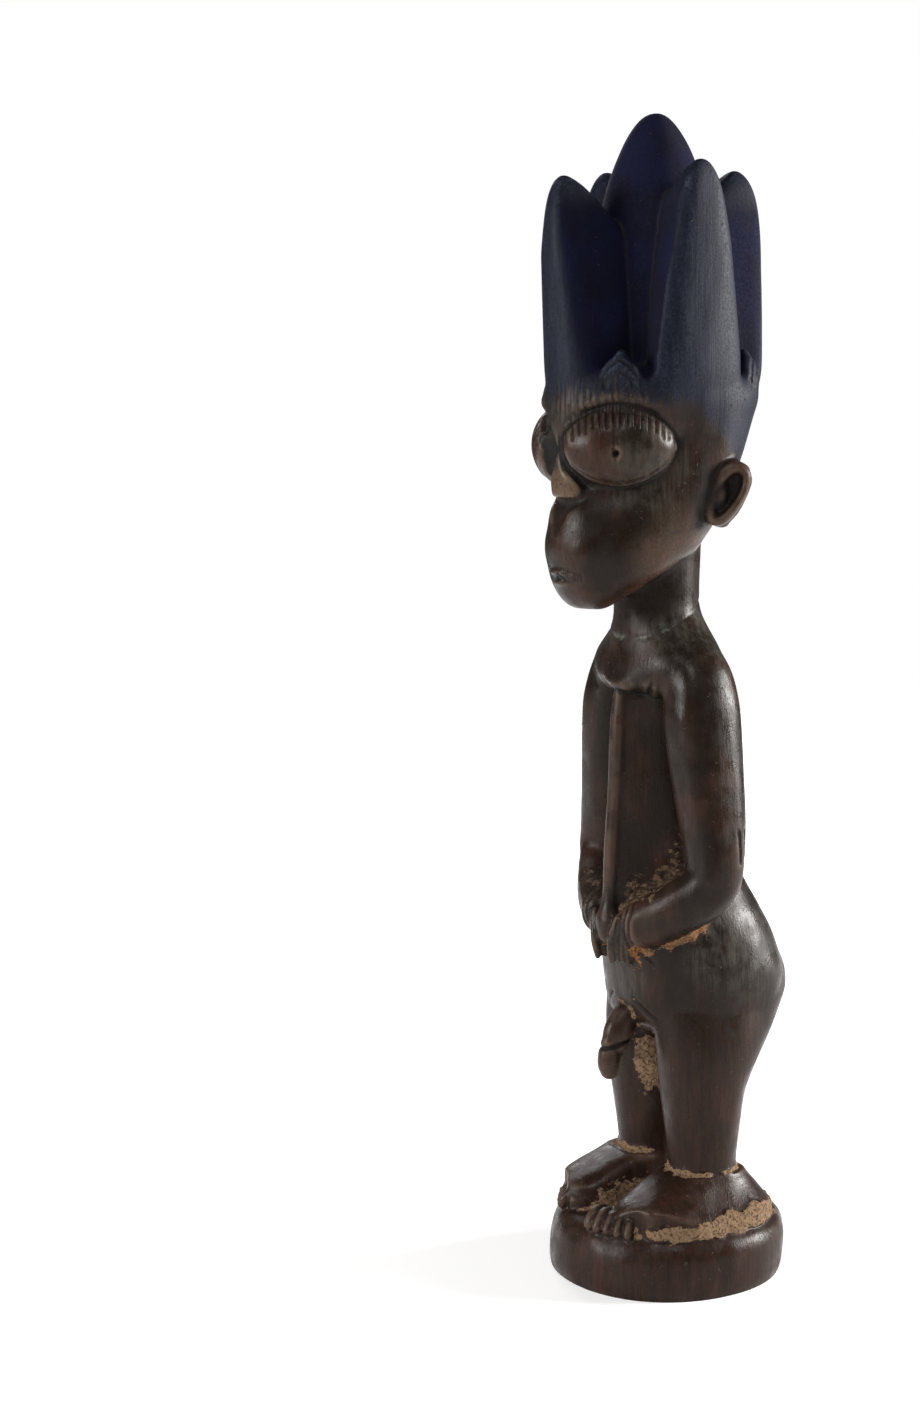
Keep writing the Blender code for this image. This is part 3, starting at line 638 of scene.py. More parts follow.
# Both sides are cut alike, so every mark is placed by |x|. Each returns how deep the knife goes in.
# The eye is drawn on a plane along its side of the face: u runs back, w runs up. Its lids are two arcs,
# w = corner + rise (1 - t^2)^0.62 and corner - fall (1 - t^2)^0.7, t from -1 to 1.
def eyeMarks(points):
    marks = carvingMarks
    middle, corner, half = marks["eyeMiddle"], marks["eyeCorner"], marks["eyeHalfWidth"]
    rise, fall = marks["lidRise"], marks["lidFall"]
    flank = np.stack([np.abs(points[:, 0]) - 9.0, points[:, 1] + 20.6], 1)
    u = flank @ (0.55, 0.835)
    w = points[:, 2] - eye
    near = (flank @ (0.835, -0.55) > -4) & (np.abs(u) < 19) & (np.abs(w) < 15)
    flat = np.stack([u, w], 1)[near]
    t = np.linspace(-1, 1, 25)
    arch, bowl = (1 - t**2) ** 0.62, (1 - t**2) ** 0.7
    upper = np.stack([middle + half * t, corner + rise * arch], 1)
    lower = np.stack([middle + half * t, corner - fall * bowl], 1)
    outerLid = np.stack([0.3 + 15.4 * t, -1.6 + 11.9 * arch], 1)[2:-3]
    cuts = cutDepth(upper, flat, 0.5, marks["lidDepth"], 0)
    cuts = np.maximum(cuts, cutDepth(lower, flat, 0.5, marks["lidDepth"] * 0.8, 0))
    cuts = np.maximum(cuts, cutDepth(lower + (0, 1.3), flat, 0.4, marks["lidDepth"] * 0.4, 0.25))
    for i, place in enumerate(np.linspace(-0.86, 0.93, marks["lashes"])):
        top = corner - 0.5 + rise * (1 - place**2) ** 0.62
        long = 3.2 + 0.6 * np.sin(i * 2.4) + 1.6 * (1 - place**2)
        x = middle + half * place
        lash = [(x, top), (x + 0.12, top - long)]
        cuts = np.maximum(cuts, cutDepth(lash, flat, 0.27, marks["lashDepth"], 0.25))
    crack = [(-0.9, 5.5), (-0.5, 2.0), (-0.9, -0.5), (-0.5, -2.8), (-0.3, -9.2)]
    cuts = np.maximum(cuts, cutDepth(crack, flat, 0.2, 0.28, 0.2))
    split = [(0.4, 1.2), (-0.1, 0.1), (0.1, -1.2)]
    cuts = np.maximum(cuts, cutDepth(split, flat, 0.22, 0.3, 0.2))
    pupil = np.hypot(flat[:, 0] + 0.4, flat[:, 1] + 2.9)
    pupil = np.minimum(pupil, 0.5 + np.hypot(flat[:, 0] + 1.0, flat[:, 1] + 2.0))
    cuts = np.maximum(cuts, marks["pupilDepth"] * smoothStep(1.0, 0.35, pupil))
    crease = [(-11.6, 3.4), (-12.8, 0.5), (-13.2, -2.5), (-11.8, -6.2), (-8.4, -9.6), (-5.2, -11.8)]
    cuts = np.maximum(cuts, cutDepth(crease, flat, 0.8, 1.2, 0.3))
    away, along = distanceTo(outerLid, flat)
    lidRidge = 0.4 * np.exp(-((away / 1.0) ** 2)) * smoothStep(0, 0.25, along) * smoothStep(1, 0.7, along)
    reach = np.where(flat[:, 1] > corner, rise, fall)
    inside = ((flat[:, 0] - middle) / half) ** 2 + ((flat[:, 1] - corner) / reach) ** 2
    ball = 0.7 * np.clip(1 - inside, 0, 1) ** 0.6
    depth = np.zeros(len(points))
    depth[near] = cuts - lidRidge - ball
    return depth


# Below the nose the lip is hollowed to a soft triangle, 9 mm wide under the nose and a point at its foot.
def lipHollow(points):
    x, y, z = np.abs(points[:, 0]), points[:, 1], points[:, 2]
    lift = (z - 181.5) / 8.5
    sides = smoothStep(1.0 + 5.6 * lift, 3.4 * lift - 1.4, x)
    return 1.7 * sides * smoothStep(-0.05, 0.8, lift) * smoothStep(1.2, 0.95, lift) * smoothStep(-20, -26, y)


# A notch and a few small strokes mark the mouth.
def faceMarks(points):
    x, y, z = np.abs(points[:, 0]), points[:, 1], points[:, 2]
    flat = np.stack([x, z], 1)
    notch = cutDepth([(0, chin + 8.4), (1.2, chin + 7.2)], flat, 0.5, 0.45, 0)
    strokes = [cutDepth([(k, chin + 7.1), (k + 0.1, chin + 8.8)], flat, 0.25, 0.3, 0) for k in (5.2, 6.0, 6.8)]
    line = cutDepth([(2.0, chin + 7.6), (7.4, chin + 8.0)], flat, 0.3, 0.15, 0.2)
    return np.maximum.reduce([notch, line, *strokes]) * smoothStep(-20, -26, y)


# Short upright cuts round the brow, where the hair starts: a sawtooth of the angle round the head.
def hairlineMarks(points):
    turn = np.degrees(np.arctan2(points[:, 0], -(points[:, 1] + 4)))
    wobble = waveNoise(points, 9.0, 5)
    comb = np.abs(np.sin(np.radians(turn * 52 + 40 * wobble))) ** 4
    rise = points[:, 2] + wobble - hairline
    band = smoothStep(-8, -3.5, rise) * smoothStep(4.5, 0.5, rise)
    front = smoothStep(68, 22, np.abs(turn))
    return carvingMarks["hairlineDepth"] * (1 - comb) ** 2 * band * front


def moundMarks(points):
    x, y, z = np.abs(points[:, 0]), points[:, 1] - figure["hairY"], points[:, 2]
    across = (x - 13.3) * 0.69 - (np.abs(y) - 18.4) * 0.72
    out = x * 0.72 + np.abs(y) * 0.69
    near = (out > 21.5) & (np.abs(across) < 7) & (z > hairline - 2) & (z < hairline + 11)
    depth = np.zeros(len(points))
    flat = np.stack([across, z], 1)[near]
    for size in (1.0, 0.66):
        half = [(4.9 * size, hairline + 0.5), (4.5 * size, hairline + 3.2)]
        half += [(2.7 * size, hairline + 5.6 * size + 0.6)]
        arch = [(-a, b) for a, b in half] + [(0, hairline + 8.0 * size)] + half[::-1]
        depth[near] = np.maximum(depth[near], cutDepth(arch, flat, 0.38, 0.32, 0.08))
    return depth


# Height above a sloping line round the neck's foot, which climbs 0.45 mm for each mm that it goes back.
def aboveNeckLine(points):
    return points[:, 2] - (neckFoot - 0.7 + 0.45 * (points[:, 1] + 13.4))


def roundNeck(points, far, close):
    return smoothStep(far, close, np.hypot(points[:, 0], points[:, 1] - figure["neckY"])) * (points[:, 2] > armpit)


# A shallow line rings the foot of the neck, and three cracks run up the outside of the left arm.
def neckMarks(points):
    x, y, z = points[:, 0], points[:, 1], points[:, 2]
    ring = 0.2 * np.exp(-((aboveNeckLine(points) / 0.6) ** 2)) * roundNeck(points, 15.5, 14)
    flat = np.stack([y, z], 1)
    cracks = [
        [(0.4, 114), (0.7, 109), (0.5, 104.5)],
        [(3.0, 113.5), (2.8, 110)],
        [(3.2, 107), (3.0, 103), (3.3, 99.5)],
    ]
    arm = np.maximum.reduce([cutDepth(crack, flat, 0.34, 0.6, 0.15) for crack in cracks]) * (x > 20)
    return ring + arm


# The lower edge of the chest is a thin line that dips below each lobe.
def chestMarks(points):
    flat = np.abs(points[:, [0, 2]])
    edge = [(0, armpit + 0.3), (3.6, armpit - 1.2), (7.2, armpit - 1.3), (10, armpit + 0.4), (12.2, armpit + 3.2)]
    return cutDepth(edge, flat, 0.42, 0.5, 0.12) * smoothStep(-5, -8, points[:, 1])


def handMarks(points):
    x, y, z = np.abs(points[:, 0]), points[:, 1], points[:, 2]
    across = (x - 7.0) * 0.835 + (y + 15.8) * 0.55
    front = smoothStep(-9, -12, y) * (z > hip - 1) * (z < waist) * (x < 16)
    flat = np.stack([across, z], 1)
    depth = np.zeros(len(points))
    rings = [
        [(1.8, waist - 3), (0.9, waist - 8), (0.9, waist - 12), (3.1, waist - 16.5), (7.0, waist - 19)],
        [(0.2, waist - 4), (-0.7, waist - 8), (-0.7, waist - 12), (1.1, waist - 17)],
    ]
    for ring in rings:
        depth = np.maximum(depth, cutDepth(ring, flat, 0.33, 0.42, 0.1))
    for i in range(4):
        gap = -3.3 + 1.15 * i
        finger = [(gap + 0.9, waist - 7.0), (gap, waist - 13), (gap - 0.5, waist - 19.6)]
        depth = np.maximum(depth, cutDepth(finger, flat, 0.24, 0.25, 0.12))
    return depth * front


def loinMarks(points):
    x, y, z = np.abs(points[:, 0]), points[:, 1], points[:, 2]
    front = smoothStep(-10, -12, y)
    ring = 0.6 * np.exp(-(((z - crotch + 2.0 - 0.25 * (y + 17)) / 0.5) ** 2)) * front * (x < 5)
    flat = np.stack([x, z], 1)
    belly = cutDepth([(3.4, crotch + 10.6), (7.0, crotch + 7.6), (11.0, crotch + 4.4)], flat, 0.5, 0.4, 0.2)
    return ring + belly * smoothStep(-6, -9, y) * (x < 12)


print("figure: carving")
normals = normalsOf(points, quads)
cuts = np.zeros(len(points))
for marks in (eyeMarks, faceMarks, hairlineMarks, moundMarks, neckMarks, chestMarks, handMarks, loinMarks):
    cuts = cuts + marks(points)
uneven = waveNoise(points * (1, 1, 0.4), 4.5, 11) + 0.3 * waveNoise(points * (1, 1, 0.5), 2.4, 12)
raised = carvingMarks["toolMarks"] * uneven * smoothStep(0.2, 1.5, points[:, 2])
points = points + normals * (raised - cuts - lipHollow(points))[:, None]
points = softened(points, quads, 1, 0.2)
points[:, 2] = np.maximum(points[:, 2], 0)

normals = normalsOf(points, quads)
hollow = ((softened(points, quads, 20) - points) * normals).sum(1)
hollowWide = ((softened(points, quads, 120) - points) * normals).sum(1)


# Tan crust lies in the creases of the body, along the feet and above each forearm. Each patch is a band
# of heights or distances, and 0.5 is its edge. Noise in the amount and in the material makes it ragged.
def crustAmount(points, hollowWide, spread):
    x, y, z = np.abs(points[:, 0]), points[:, 1], points[:, 2]
    ragged = 0.6 * waveNoise(points, 2.8, 21) + 0.4 * waveNoise(points, 1.3, 22)
    wobble = 0.45 * ragged
    creases = smoothStep(0.40, 0.85, hollowWide + 0.15 * ragged) * smoothStep(150, 120, z)
    ankles = smoothStep(0.06, 0.34, hollowWide + 0.12 * ragged) * smoothStep(ankle + 4, ankle + 1, z)
    ankles = ankles * smoothStep(ankle - 6.5, ankle - 4.5, z)
    forearm = smoothStep(0.10, 0.28, spread + 0.07 * ragged) * smoothStep(hip + 1, hip + 5, z)
    forearm = forearm * smoothStep(waist, waist - 4, z) * smoothStep(5, 8, x) * smoothStep(9, 5, y)
    above = z - (waist + 4.0 + 0.53 * y)
    dust = 0.42 * smoothStep(15, 4, above + 2 * ragged) * smoothStep(-9.0, -4.0, y)
    heap = np.maximum(dust, 0.85 * smoothStep(6.5, 1.0, above + 1.6 * ragged)) * smoothStep(-5, -2, above)
    heap = heap * smoothStep(-16.2, -14.6, y) * smoothStep(3.0, 0.0, y) * smoothStep(2.0, 4.5, x) * (x < 15)
    heap = heap * np.where(points[:, 0] > 0, 1, 0.6)
    turn = np.degrees(np.arctan2(x, -y))
    top = 17.4 + 2.2 * smoothStep(50, 105, turn)
    wall = smoothStep(15.5, 17.5, x) * smoothStep(0.5, -0.7, z + wobble - top)
    wall = wall * smoothStep(13.9, 14.7, z + 0.3 * ragged) * smoothStep(40, 47, turn + 3 * ragged)
    inner = smoothStep(5.2, 3.4, x + wobble) * smoothStep(23, 19, z + wobble) * smoothStep(14.6, 15.4, z)
    inner = inner * smoothStep(-23, -19, y + wobble)
    groin = smoothStep(5.4, 3.8, x + wobble) * smoothStep(crotch - 18, crotch - 12, z + 2 * ragged)
    groin = groin * smoothStep(crotch - 1, crotch - 4, z) * (y > -9) * smoothStep(7, 3, y + ragged)
    root = smoothStep(0.2, 0.5, hollowWide + 0.2 * ragged) * smoothStep(crotch - 4, crotch, z)
    root = root * smoothStep(crotch + 14, crotch + 10, z) * (y < -8)
    return np.clip(np.maximum.reduce([creases, ankles, forearm, heap, wall, inner, groin, root]), 0, 1)


spread = softened(np.clip(hollowWide, 0, 1.2), quads, 80)
crust = crustAmount(points, hollowWide, spread)
rough = 0.7 + 0.22 * waveNoise(points * (1, 1, 1.8), 1.1, 31) + 0.12 * waveNoise(points, 0.6, 32)
thick = smoothStep(0.3, 0.8, crust) * carvingMarks["crustThickness"]
points = points + normals * (thick * np.clip(rough, 0.1, 1.3))[:, None]


def finishedMesh(name, points, quads, values):
    mesh = meshOf(name, points, quads)
    for key, value in values.items():
        layer = mesh.attributes.new(key, "FLOAT", "POINT")
        layer.data.foreach_set("value", value.astype(np.float32))
    thing = linked(name, mesh)
    thin = thing.modifiers.new("thin", "DECIMATE")
    thin.ratio = min(1.0, figure["mostTriangles"] / (2.0 * len(quads)))
    made = evaluated(thing)
    bpy.data.objects.remove(thing)
    bpy.data.meshes.remove(mesh)
    made.name = name
    made.shade_smooth()
    return made


# The outer faces and tips of the hair lobes are rubbed, and their flanks and the crown are not.
def hairWear(points, normals):
    plan = points[:, :2] - (0, figure["hairY"])
    reach = np.linalg.norm(plan, axis=1)
    outwards = (normals[:, :2] * plan).sum(1) / np.maximum(reach, 1)
    faces = smoothStep(0.55, 0.92, outwards) * smoothStep(14, 20, reach)
    tips = smoothStep(hornTip - 16, hornTip - 4, points[:, 2]) * smoothStep(12, 17, reach)
    return np.clip(faces + 0.7 * tips, 0, 1)


# A soft mask over a few places on both sides. Each place is x, y, z and its three radii.
def nearPlaces(points, spots, edge=(1.3, 0.2), noise=0.2):
    x, y, z = np.abs(points[:, 0]), points[:, 1], points[:, 2]
    ragged = noise * waveNoise(points, 5.0, 51)
    amount = np.zeros(len(points))
    for a, b, c, wide, deep, tall in spots:
        away = ((x - a) / wide) ** 2 + ((y - b) / deep) ** 2 + ((z - c) / tall) ** 2
        amount = np.maximum(amount, smoothStep(*edge, away + ragged))
    return amount


# Worn and dirty places, and places of painted sheen and painted shade, each x, y, z and three radii in
# millimetres.
places = {
    # Grey wear on the belly, shoulders and eyes; on the hips and forehead the grey is also a painted sheen.
    "greyed": [
        (0, -17, 78, 12, 12, 11),  # belly
        (22, 6, 84, 10, 18, 18),  # hips
        (12, -4, 158, 16, 14, 7),  # shoulders
        (0, -30, 211, 12, 9, 9),  # forehead
        (17, -17, 198, 9, 12, 13),  # eyes
    ],
    "bared": [
        (1.5, -31.5, 193.5, 5.0, 4.0, 5.0),  # nose
        (18.6, 0.5, 186, 2.0, 4.0, 2.6),  # lower rims of the ears
    ],
    "tanned": [(18, -8, 178, 8, 16, 13)],  # cheeks
    "chipped": [(17.6, -19.6, 185.2, 2.2, 1.6, 1.9)],  # left cheek
    # Painted shade, with some dark grime, before and inside the ears and in the corners of the eyes.
    "shadedAndSooted": [
        (20.6, 2.6, 192.0, 5.0, 4.6, 6.6),  # inside the ears
        (18.0, -2.8, 190.0, 4.0, 4.4, 8.0),  # before the ears
        (17.0, -8.6, eye + 1, 2.6, 2.6, 4.4),  # outer corners of the eyes
        (3.2, -30.5, eye - 2, 2.6, 3.0, 4.6),  # inner corners of the eyes
    ],
}


# Pale dirt lies in the line round the neck's foot.
def neckDirt(points):
    line = np.exp(-((aboveNeckLine(points) / 0.9) ** 2)) * roundNeck(points, 16, 14)
    return line * smoothStep(-0.6, 1.4, waveNoise(points, 3.0, 61))


# The two bands of fine strokes: the lashes below the upper lid, and the hair's start over the brow.
def strokeBands(points):
    x, y, z = np.abs(points[:, 0]), points[:, 1], points[:, 2]
    u = (x - 9.0) * 0.55 + (y + 20.6) * 0.835
    marks = carvingMarks
    place = np.clip((u - marks["eyeMiddle"]) / marks["eyeHalfWidth"], -1, 1)
    below = eye + marks["eyeCorner"] + marks["lidRise"] * (1 - place**2) ** 0.62 - z
    long = 3.4 + 2.0 * (1 - place**2)
    front = ((x - 9.0) * 0.835 - (y + 20.6) * 0.55 > -4) * smoothStep(0.99, 0.93, np.abs(place))
    lashes = smoothStep(-0.6, 0.2, below) * smoothStep(long, long - 1.6, below) * front
    turn = np.degrees(np.arctan2(x, -(y + 4)))
    wobble = waveNoise(points, 8.0, 5)
    brow = smoothStep(hairline - 10, hairline - 4, z + wobble) * smoothStep(75, 30, turn)
    brow = brow * smoothStep(hairline + 9, hairline, z + 2 * wobble)
    return lashes, brow


# Indigo covers the hair. Its lower edge drops from the brow to the ears.
behind = 3.5 * smoothStep(-28, -8, points[:, 1]) + 13.0 * smoothStep(-6, 10, points[:, 1])
edge = hairline + 1.0 - behind + 1.2 * waveNoise(points, 7.0, 41)
lashBand, browBand = strokeBands(points)
values = {
    "hollow": np.clip(hollow / 0.3, -1, 1),
    "hollowWide": np.clip(hollowWide / 1.2, -1, 1),
    "cut": np.clip(cuts / 0.6, 0, 1) * smoothStep(3.4, 1.6, cuts),
    "blue": smoothStep(-5.5, 4.5, points[:, 2] - edge),
    "crust": crust,
    "wear": hairWear(points, normals),
    # Grey wear together with a painted sheen on the hips and forehead.
    "greyWearAndSheen": nearPlaces(points, places["greyed"]),
    "bare": np.maximum.reduce([
        0.7 * nearPlaces(points, places["bared"]),
        0.22 * nearPlaces(points, places["tanned"]),
        nearPlaces(points, places["chipped"], (1.0, 0.6), 0.3) * (points[:, 0] > 0),
    ]),
    # Painted shade with dark grime by the ears and eyes, kept off the convex rims.
    "shadeAndSoot": nearPlaces(points, places["shadedAndSooted"], (1.2, 0.5)) * smoothStep(-0.35, 0.05, hollowWide),
    "dirt": neckDirt(points),
    "lashes": lashBand,
    "brow": browBand,
}
carving = linked("carved_twin", finishedMesh("carved_twin", points, quads, values))
print("figure:", len(carving.data.polygons), "faces")


def addNode(tree, kind, inputs=None, **settings):
    made = tree.nodes.new("ShaderNode" + kind)
    for key, value in settings.items():
        setattr(made, key, value)
    for key, value in (inputs or {}).items():
        if isinstance(value, bpy.types.NodeSocket):
            tree.links.new(value, made.inputs[key])
        else:
            made.inputs[key].default_value = value
    return made


# Colours of the wood, the indigo and the crust, and how dull or shiny each is.
finish = {
    "darkWood": (0.0105, 0.0068, 0.0048, 1),
    "redWood": (0.034, 0.0140, 0.0092, 1),
    "rubbedWood": (0.080, 0.052, 0.036, 1),
    # The grey below is worn patina and also a painted sheen.
    "greyPatinaAndSheen": (0.034, 0.030, 0.024, 1),
    "bareWood": (0.105, 0.066, 0.038, 1),
    "paleDirt": (0.105, 0.120, 0.095, 1),
    # The near-black below is grime along the grain, and also painted shade in hollows and cuts.
    "blackGrimeAndShade": (0.0045, 0.0038, 0.0034, 1),
    "indigo": (0.0020, 0.0023, 0.0075, 1),
    "brightIndigo": (0.0030, 0.0036, 0.0200, 1),
    "fadedIndigo": (0.0030, 0.0042, 0.0112, 1),
    "rubbedIndigo": (0.032, 0.040, 0.060, 1),
    "tanCrust": (0.185, 0.122, 0.074, 1),
    "orangeCrust": (0.20, 0.088, 0.032, 1),
    "specular": 0.13,
    "woodRoughness": 0.31,
    "indigoRoughness": 0.86,
    "wornIndigoRoughness": 0.56,
    "crustRoughness": 0.95,
}


def woodMaterial():
    material = bpy.data.materials.new("rubbedDarkWood")
    material.use_nodes = True
    tree = material.node_tree
    shader = tree.nodes["Principled BSDF"]
    place = addNode(tree, "TexCoord").outputs["Object"]

    def attribute(name):
        return addNode(tree, "Attribute", attribute_name=name).outputs["Fac"]

    def noise(scale, detail=3.0, stretch=(1, 1, 1), roughness=0.55):
        moved = addNode(tree, "Mapping", {"Vector": place, "Scale": stretch}).outputs[0]
        settings = {"Vector": moved, "Scale": scale, "Detail": detail, "Roughness": roughness}
        return addNode(tree, "TexNoise", settings).outputs["Fac"]

    def span(value, low, high, toLow=0.0, toHigh=1.0):
        limits = {"Value": value, "From Min": low, "From Max": high, "To Min": toLow, "To Max": toHigh}
        return addNode(tree, "MapRange", limits, interpolation_type="SMOOTHSTEP").outputs[0]

    def maths(operation, a, b, clamp=False):
        return addNode(tree, "Math", {0: a, 1: b}, operation=operation, use_clamp=clamp).outputs[0]

    def mix(amount, a, b):
        made = addNode(tree, "Mix", {0: amount, 6: a, 7: b}, data_type="RGBA")
        return made.outputs[2]

    blue, crust, cut = attribute("blue"), attribute("crust"), attribute("cut")
    hollow, hollowWide = attribute("hollow"), attribute("hollowWide")
    grain = noise(900, 4, (1, 1, 0.07))
    fineGrain = noise(2600, 3, (1, 1, 0.05))
    patches = noise(95, 4, (1, 1, 0.6))
    specks = noise(1500, 4)
    smudges = noise(260, 5)
    flakes = noise(520, 6, (1, 1, 1.6), 0.68)

    ridges = span(hollow, -0.1, -0.75)
    height = addNode(tree, "SeparateXYZ", {"Vector": place}).outputs["Z"]
    legs = span(maths("ADD", height, span(smudges, 0.3, 0.7, -0.008, 0.008)), 0.077, 0.046)
    redness = maths("MULTIPLY", span(patches, 0.42, 0.68), span(grain, 0.3, 0.7, 0.35, 1.0))
    redness = maths("MAXIMUM", redness, maths("MULTIPLY", legs, span(grain, 0.3, 0.65, 0.1, 0.6)))
    wood = mix(redness, finish["darkWood"], finish["redWood"])
    # Grey mixed in over the greyed places: wear, and on the hips and forehead a painted sheen.
    greyed = maths("MULTIPLY", span(smudges, 0.3, 0.62, 0.1, 1.0), span(grain, 0.38, 0.6, 0.25, 1.0))
    wood = mix(maths("MULTIPLY", attribute("greyWearAndSheen"), greyed), wood, finish["greyPatinaAndSheen"])
    wood = mix(span(fineGrain, 0.52, 0.75, 0.0, 0.5), wood, finish["blackGrimeAndShade"])
    rubbed = maths("MULTIPLY", ridges, span(smudges, 0.3, 0.65, 0.25, 0.8))
    wood = mix(rubbed, wood, finish["rubbedWood"])
    wood = mix(maths("MULTIPLY", attribute("bare"), span(specks, 0.3, 0.6, 0.35, 1.0)), wood, finish["bareWood"])

    wear = attribute("wear")
    stains = maths("MULTIPLY", span(patches, 0.40, 0.66, 0.15, 0.85), span(wear, 0.0, 0.7, 1.0, 0.25))
    indigo = mix(stains, finish["indigo"], finish["brightIndigo"])
    deepBlue = span(hollowWide, 0.1, 0.6, 0.0, 0.7)
    indigo = mix(deepBlue, indigo, finish["brightIndigo"])
    indigo = mix(wear, indigo, finish["fadedIndigo"])
    streaks = noise(420, 5, (1, 1, 0.16), 0.65)
    scuffs = maths("MULTIPLY", span(specks, 0.36, 0.62), span(streaks, 0.34, 0.62, 0.0, 1.0))
    edges = maths("MULTIPLY", ridges, span(wear, 0.0, 0.4, 0.2, 0.9))
    scuffs = maths("MULTIPLY", scuffs, maths("MAXIMUM", maths("MULTIPLY", wear, 0.25), edges))
    indigo = mix(scuffs, indigo, finish["rubbedIndigo"])
    fade = span(maths("ADD", blue, span(grain, 0.3, 0.7, -0.22, 0.22)), 0.25, 0.8)
    surface = mix(fade, wood, indigo)

    # Lash lines repeat along the eye's own level coordinate, one to each lash that is cut.
    lashPitch, firstLash = 0.001566, -0.01184
    parts = addNode(tree, "SeparateXYZ", {"Vector": place})
    aside = maths("SUBTRACT", maths("ABSOLUTE", parts.outputs["X"], 0.0), 0.009)
    alongEye = maths("ADD", maths("MULTIPLY", aside, 0.55), maths("MULTIPLY", parts.outputs["Y"], 0.835))
    lashTurn = maths("MULTIPLY", maths("ADD", alongEye, 0.0206 * 0.835 - firstLash), 2 * np.pi / lashPitch)
    lash = maths("MULTIPLY", span(maths("COSINE", lashTurn, 0.0), 0.55, 0.95), attribute("lashes"))
    fineStrokes = noise(1150, 3, (1, 1, 0.05), 0.6)
    strokes = maths("MULTIPLY", span(fineStrokes, 0.50, 0.62), attribute("brow"))
    # Black goes into the hollows, the cut lines, the lash lines, the brow strokes and the sooted places: painted
    # shade together with dark grime.
    shadeAndGrime = maths("MAXIMUM", span(hollow, 0.15, 0.8, 0.0, 0.85), span(cut, 0.15, 0.8, 0.0, 0.9))
    shadeAndGrime = maths("MAXIMUM", shadeAndGrime, maths("MULTIPLY", maths("MAXIMUM", lash, strokes), 0.8))
    shadeAndGrime = maths("MAXIMUM", shadeAndGrime, maths("MULTIPLY", attribute("shadeAndSoot"), span(smudges, 0.3, 0.6, 0.55, 0.95)))
    surface = mix(shadeAndGrime, surface, finish["blackGrimeAndShade"])
    crumbs = noise(800, 6, (1, 1, 1), 0.7)
    dirt = span(maths("ADD", attribute("dirt"), span(crumbs, 0.32, 0.68, -0.5, 0.5)), 0.5, 1.1, 0.0, 0.5)
    surface = mix(dirt, surface, finish["paleDirt"])
    underArm = maths("MULTIPLY", span(height, 0.068, 0.078), span(height, 0.094, 0.088))
    warm = maths("MULTIPLY", span(patches, 0.38, 0.6, 0.3, 1.0), span(underArm, 0.0, 1.0, 0.12, 1.0))
    shaded = maths("MULTIPLY", span(height, 0.088, 0.094, 0.0, 1.0), span(flakes, 0.42, 0.66, 0.94, 0.3))
    crustColour = mix(warm, finish["tanCrust"], finish["orangeCrust"])
    crustColour = mix(span(specks, 0.45, 0.68, 0.0, 0.8), crustColour, finish["darkWood"])
    crustColour = mix(span(smudges, 0.5, 0.75, 0.0, 0.6), crustColour, finish["darkWood"])
    crustColour = mix(shaded, crustColour, finish["darkWood"])
    ragged = maths("ADD", span(flakes, 0.32, 0.68, -0.42, 0.42), span(specks, 0.3, 0.7, -0.14, 0.14))
    crustEdge = span(maths("ADD", crust, ragged), 0.44, 0.58)
    surface = mix(crustEdge, surface, crustColour)
    tree.links.new(surface, shader.inputs["Base Color"])

    shine = span(smudges, 0.3, 0.7, finish["woodRoughness"] - 0.08, finish["woodRoughness"] + 0.14)
    dullBlue = span(wear, 0.2, 0.9, finish["indigoRoughness"], finish["wornIndigoRoughness"])
    dullBlue = maths("ADD", dullBlue, span(specks, 0.3, 0.7, -0.06, 0.08))

    def blend(amount, a, b):
        return addNode(tree, "Mix", {0: amount, 2: a, 3: b}, data_type="FLOAT").outputs[0]

    shader.inputs["Specular IOR Level"].default_value = finish["specular"]
    roughness = blend(blue, shine, dullBlue)
    roughness = blend(shadeAndGrime, roughness, 0.6)
    roughness = blend(crustEdge, roughness, finish["crustRoughness"])
    tree.links.new(roughness, shader.inputs["Roughness"])

    height = maths("ADD", maths("MULTIPLY", fineGrain, 0.35), maths("MULTIPLY", specks, 0.3))
    height = maths("ADD", height, maths("MULTIPLY", grain, 0.4))
    height = maths("ADD", height, maths("MULTIPLY", crustEdge, maths("MULTIPLY", specks, 2.6)))
    height = maths("SUBTRACT", height, maths("ADD", maths("MULTIPLY", lash, 1.2), maths("MULTIPLY", strokes, 0.7)))
    bump = addNode(tree, "Bump", {"Height": height, "Strength": 0.5, "Distance": 0.00025})
    tree.links.new(bump.outputs[0], shader.inputs["Normal"])
    return material


carving.data.materials.clear()
carving.data.materials.append(woodMaterial())
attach(carving, "root")
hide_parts("carved_figure")

# The camera stands 579 mm off the figure's axis, to its front left, and looks a little down.
view = {
    "turn": 55.0,
    "distance": 579.0,
    "height": 218.0,
    "pitch": 7.8,
    "roll": -0.68,
    "figureAt": 672.0,
    "imageSize": (920, 1423),
    "focalPixels": 2400.0,
}


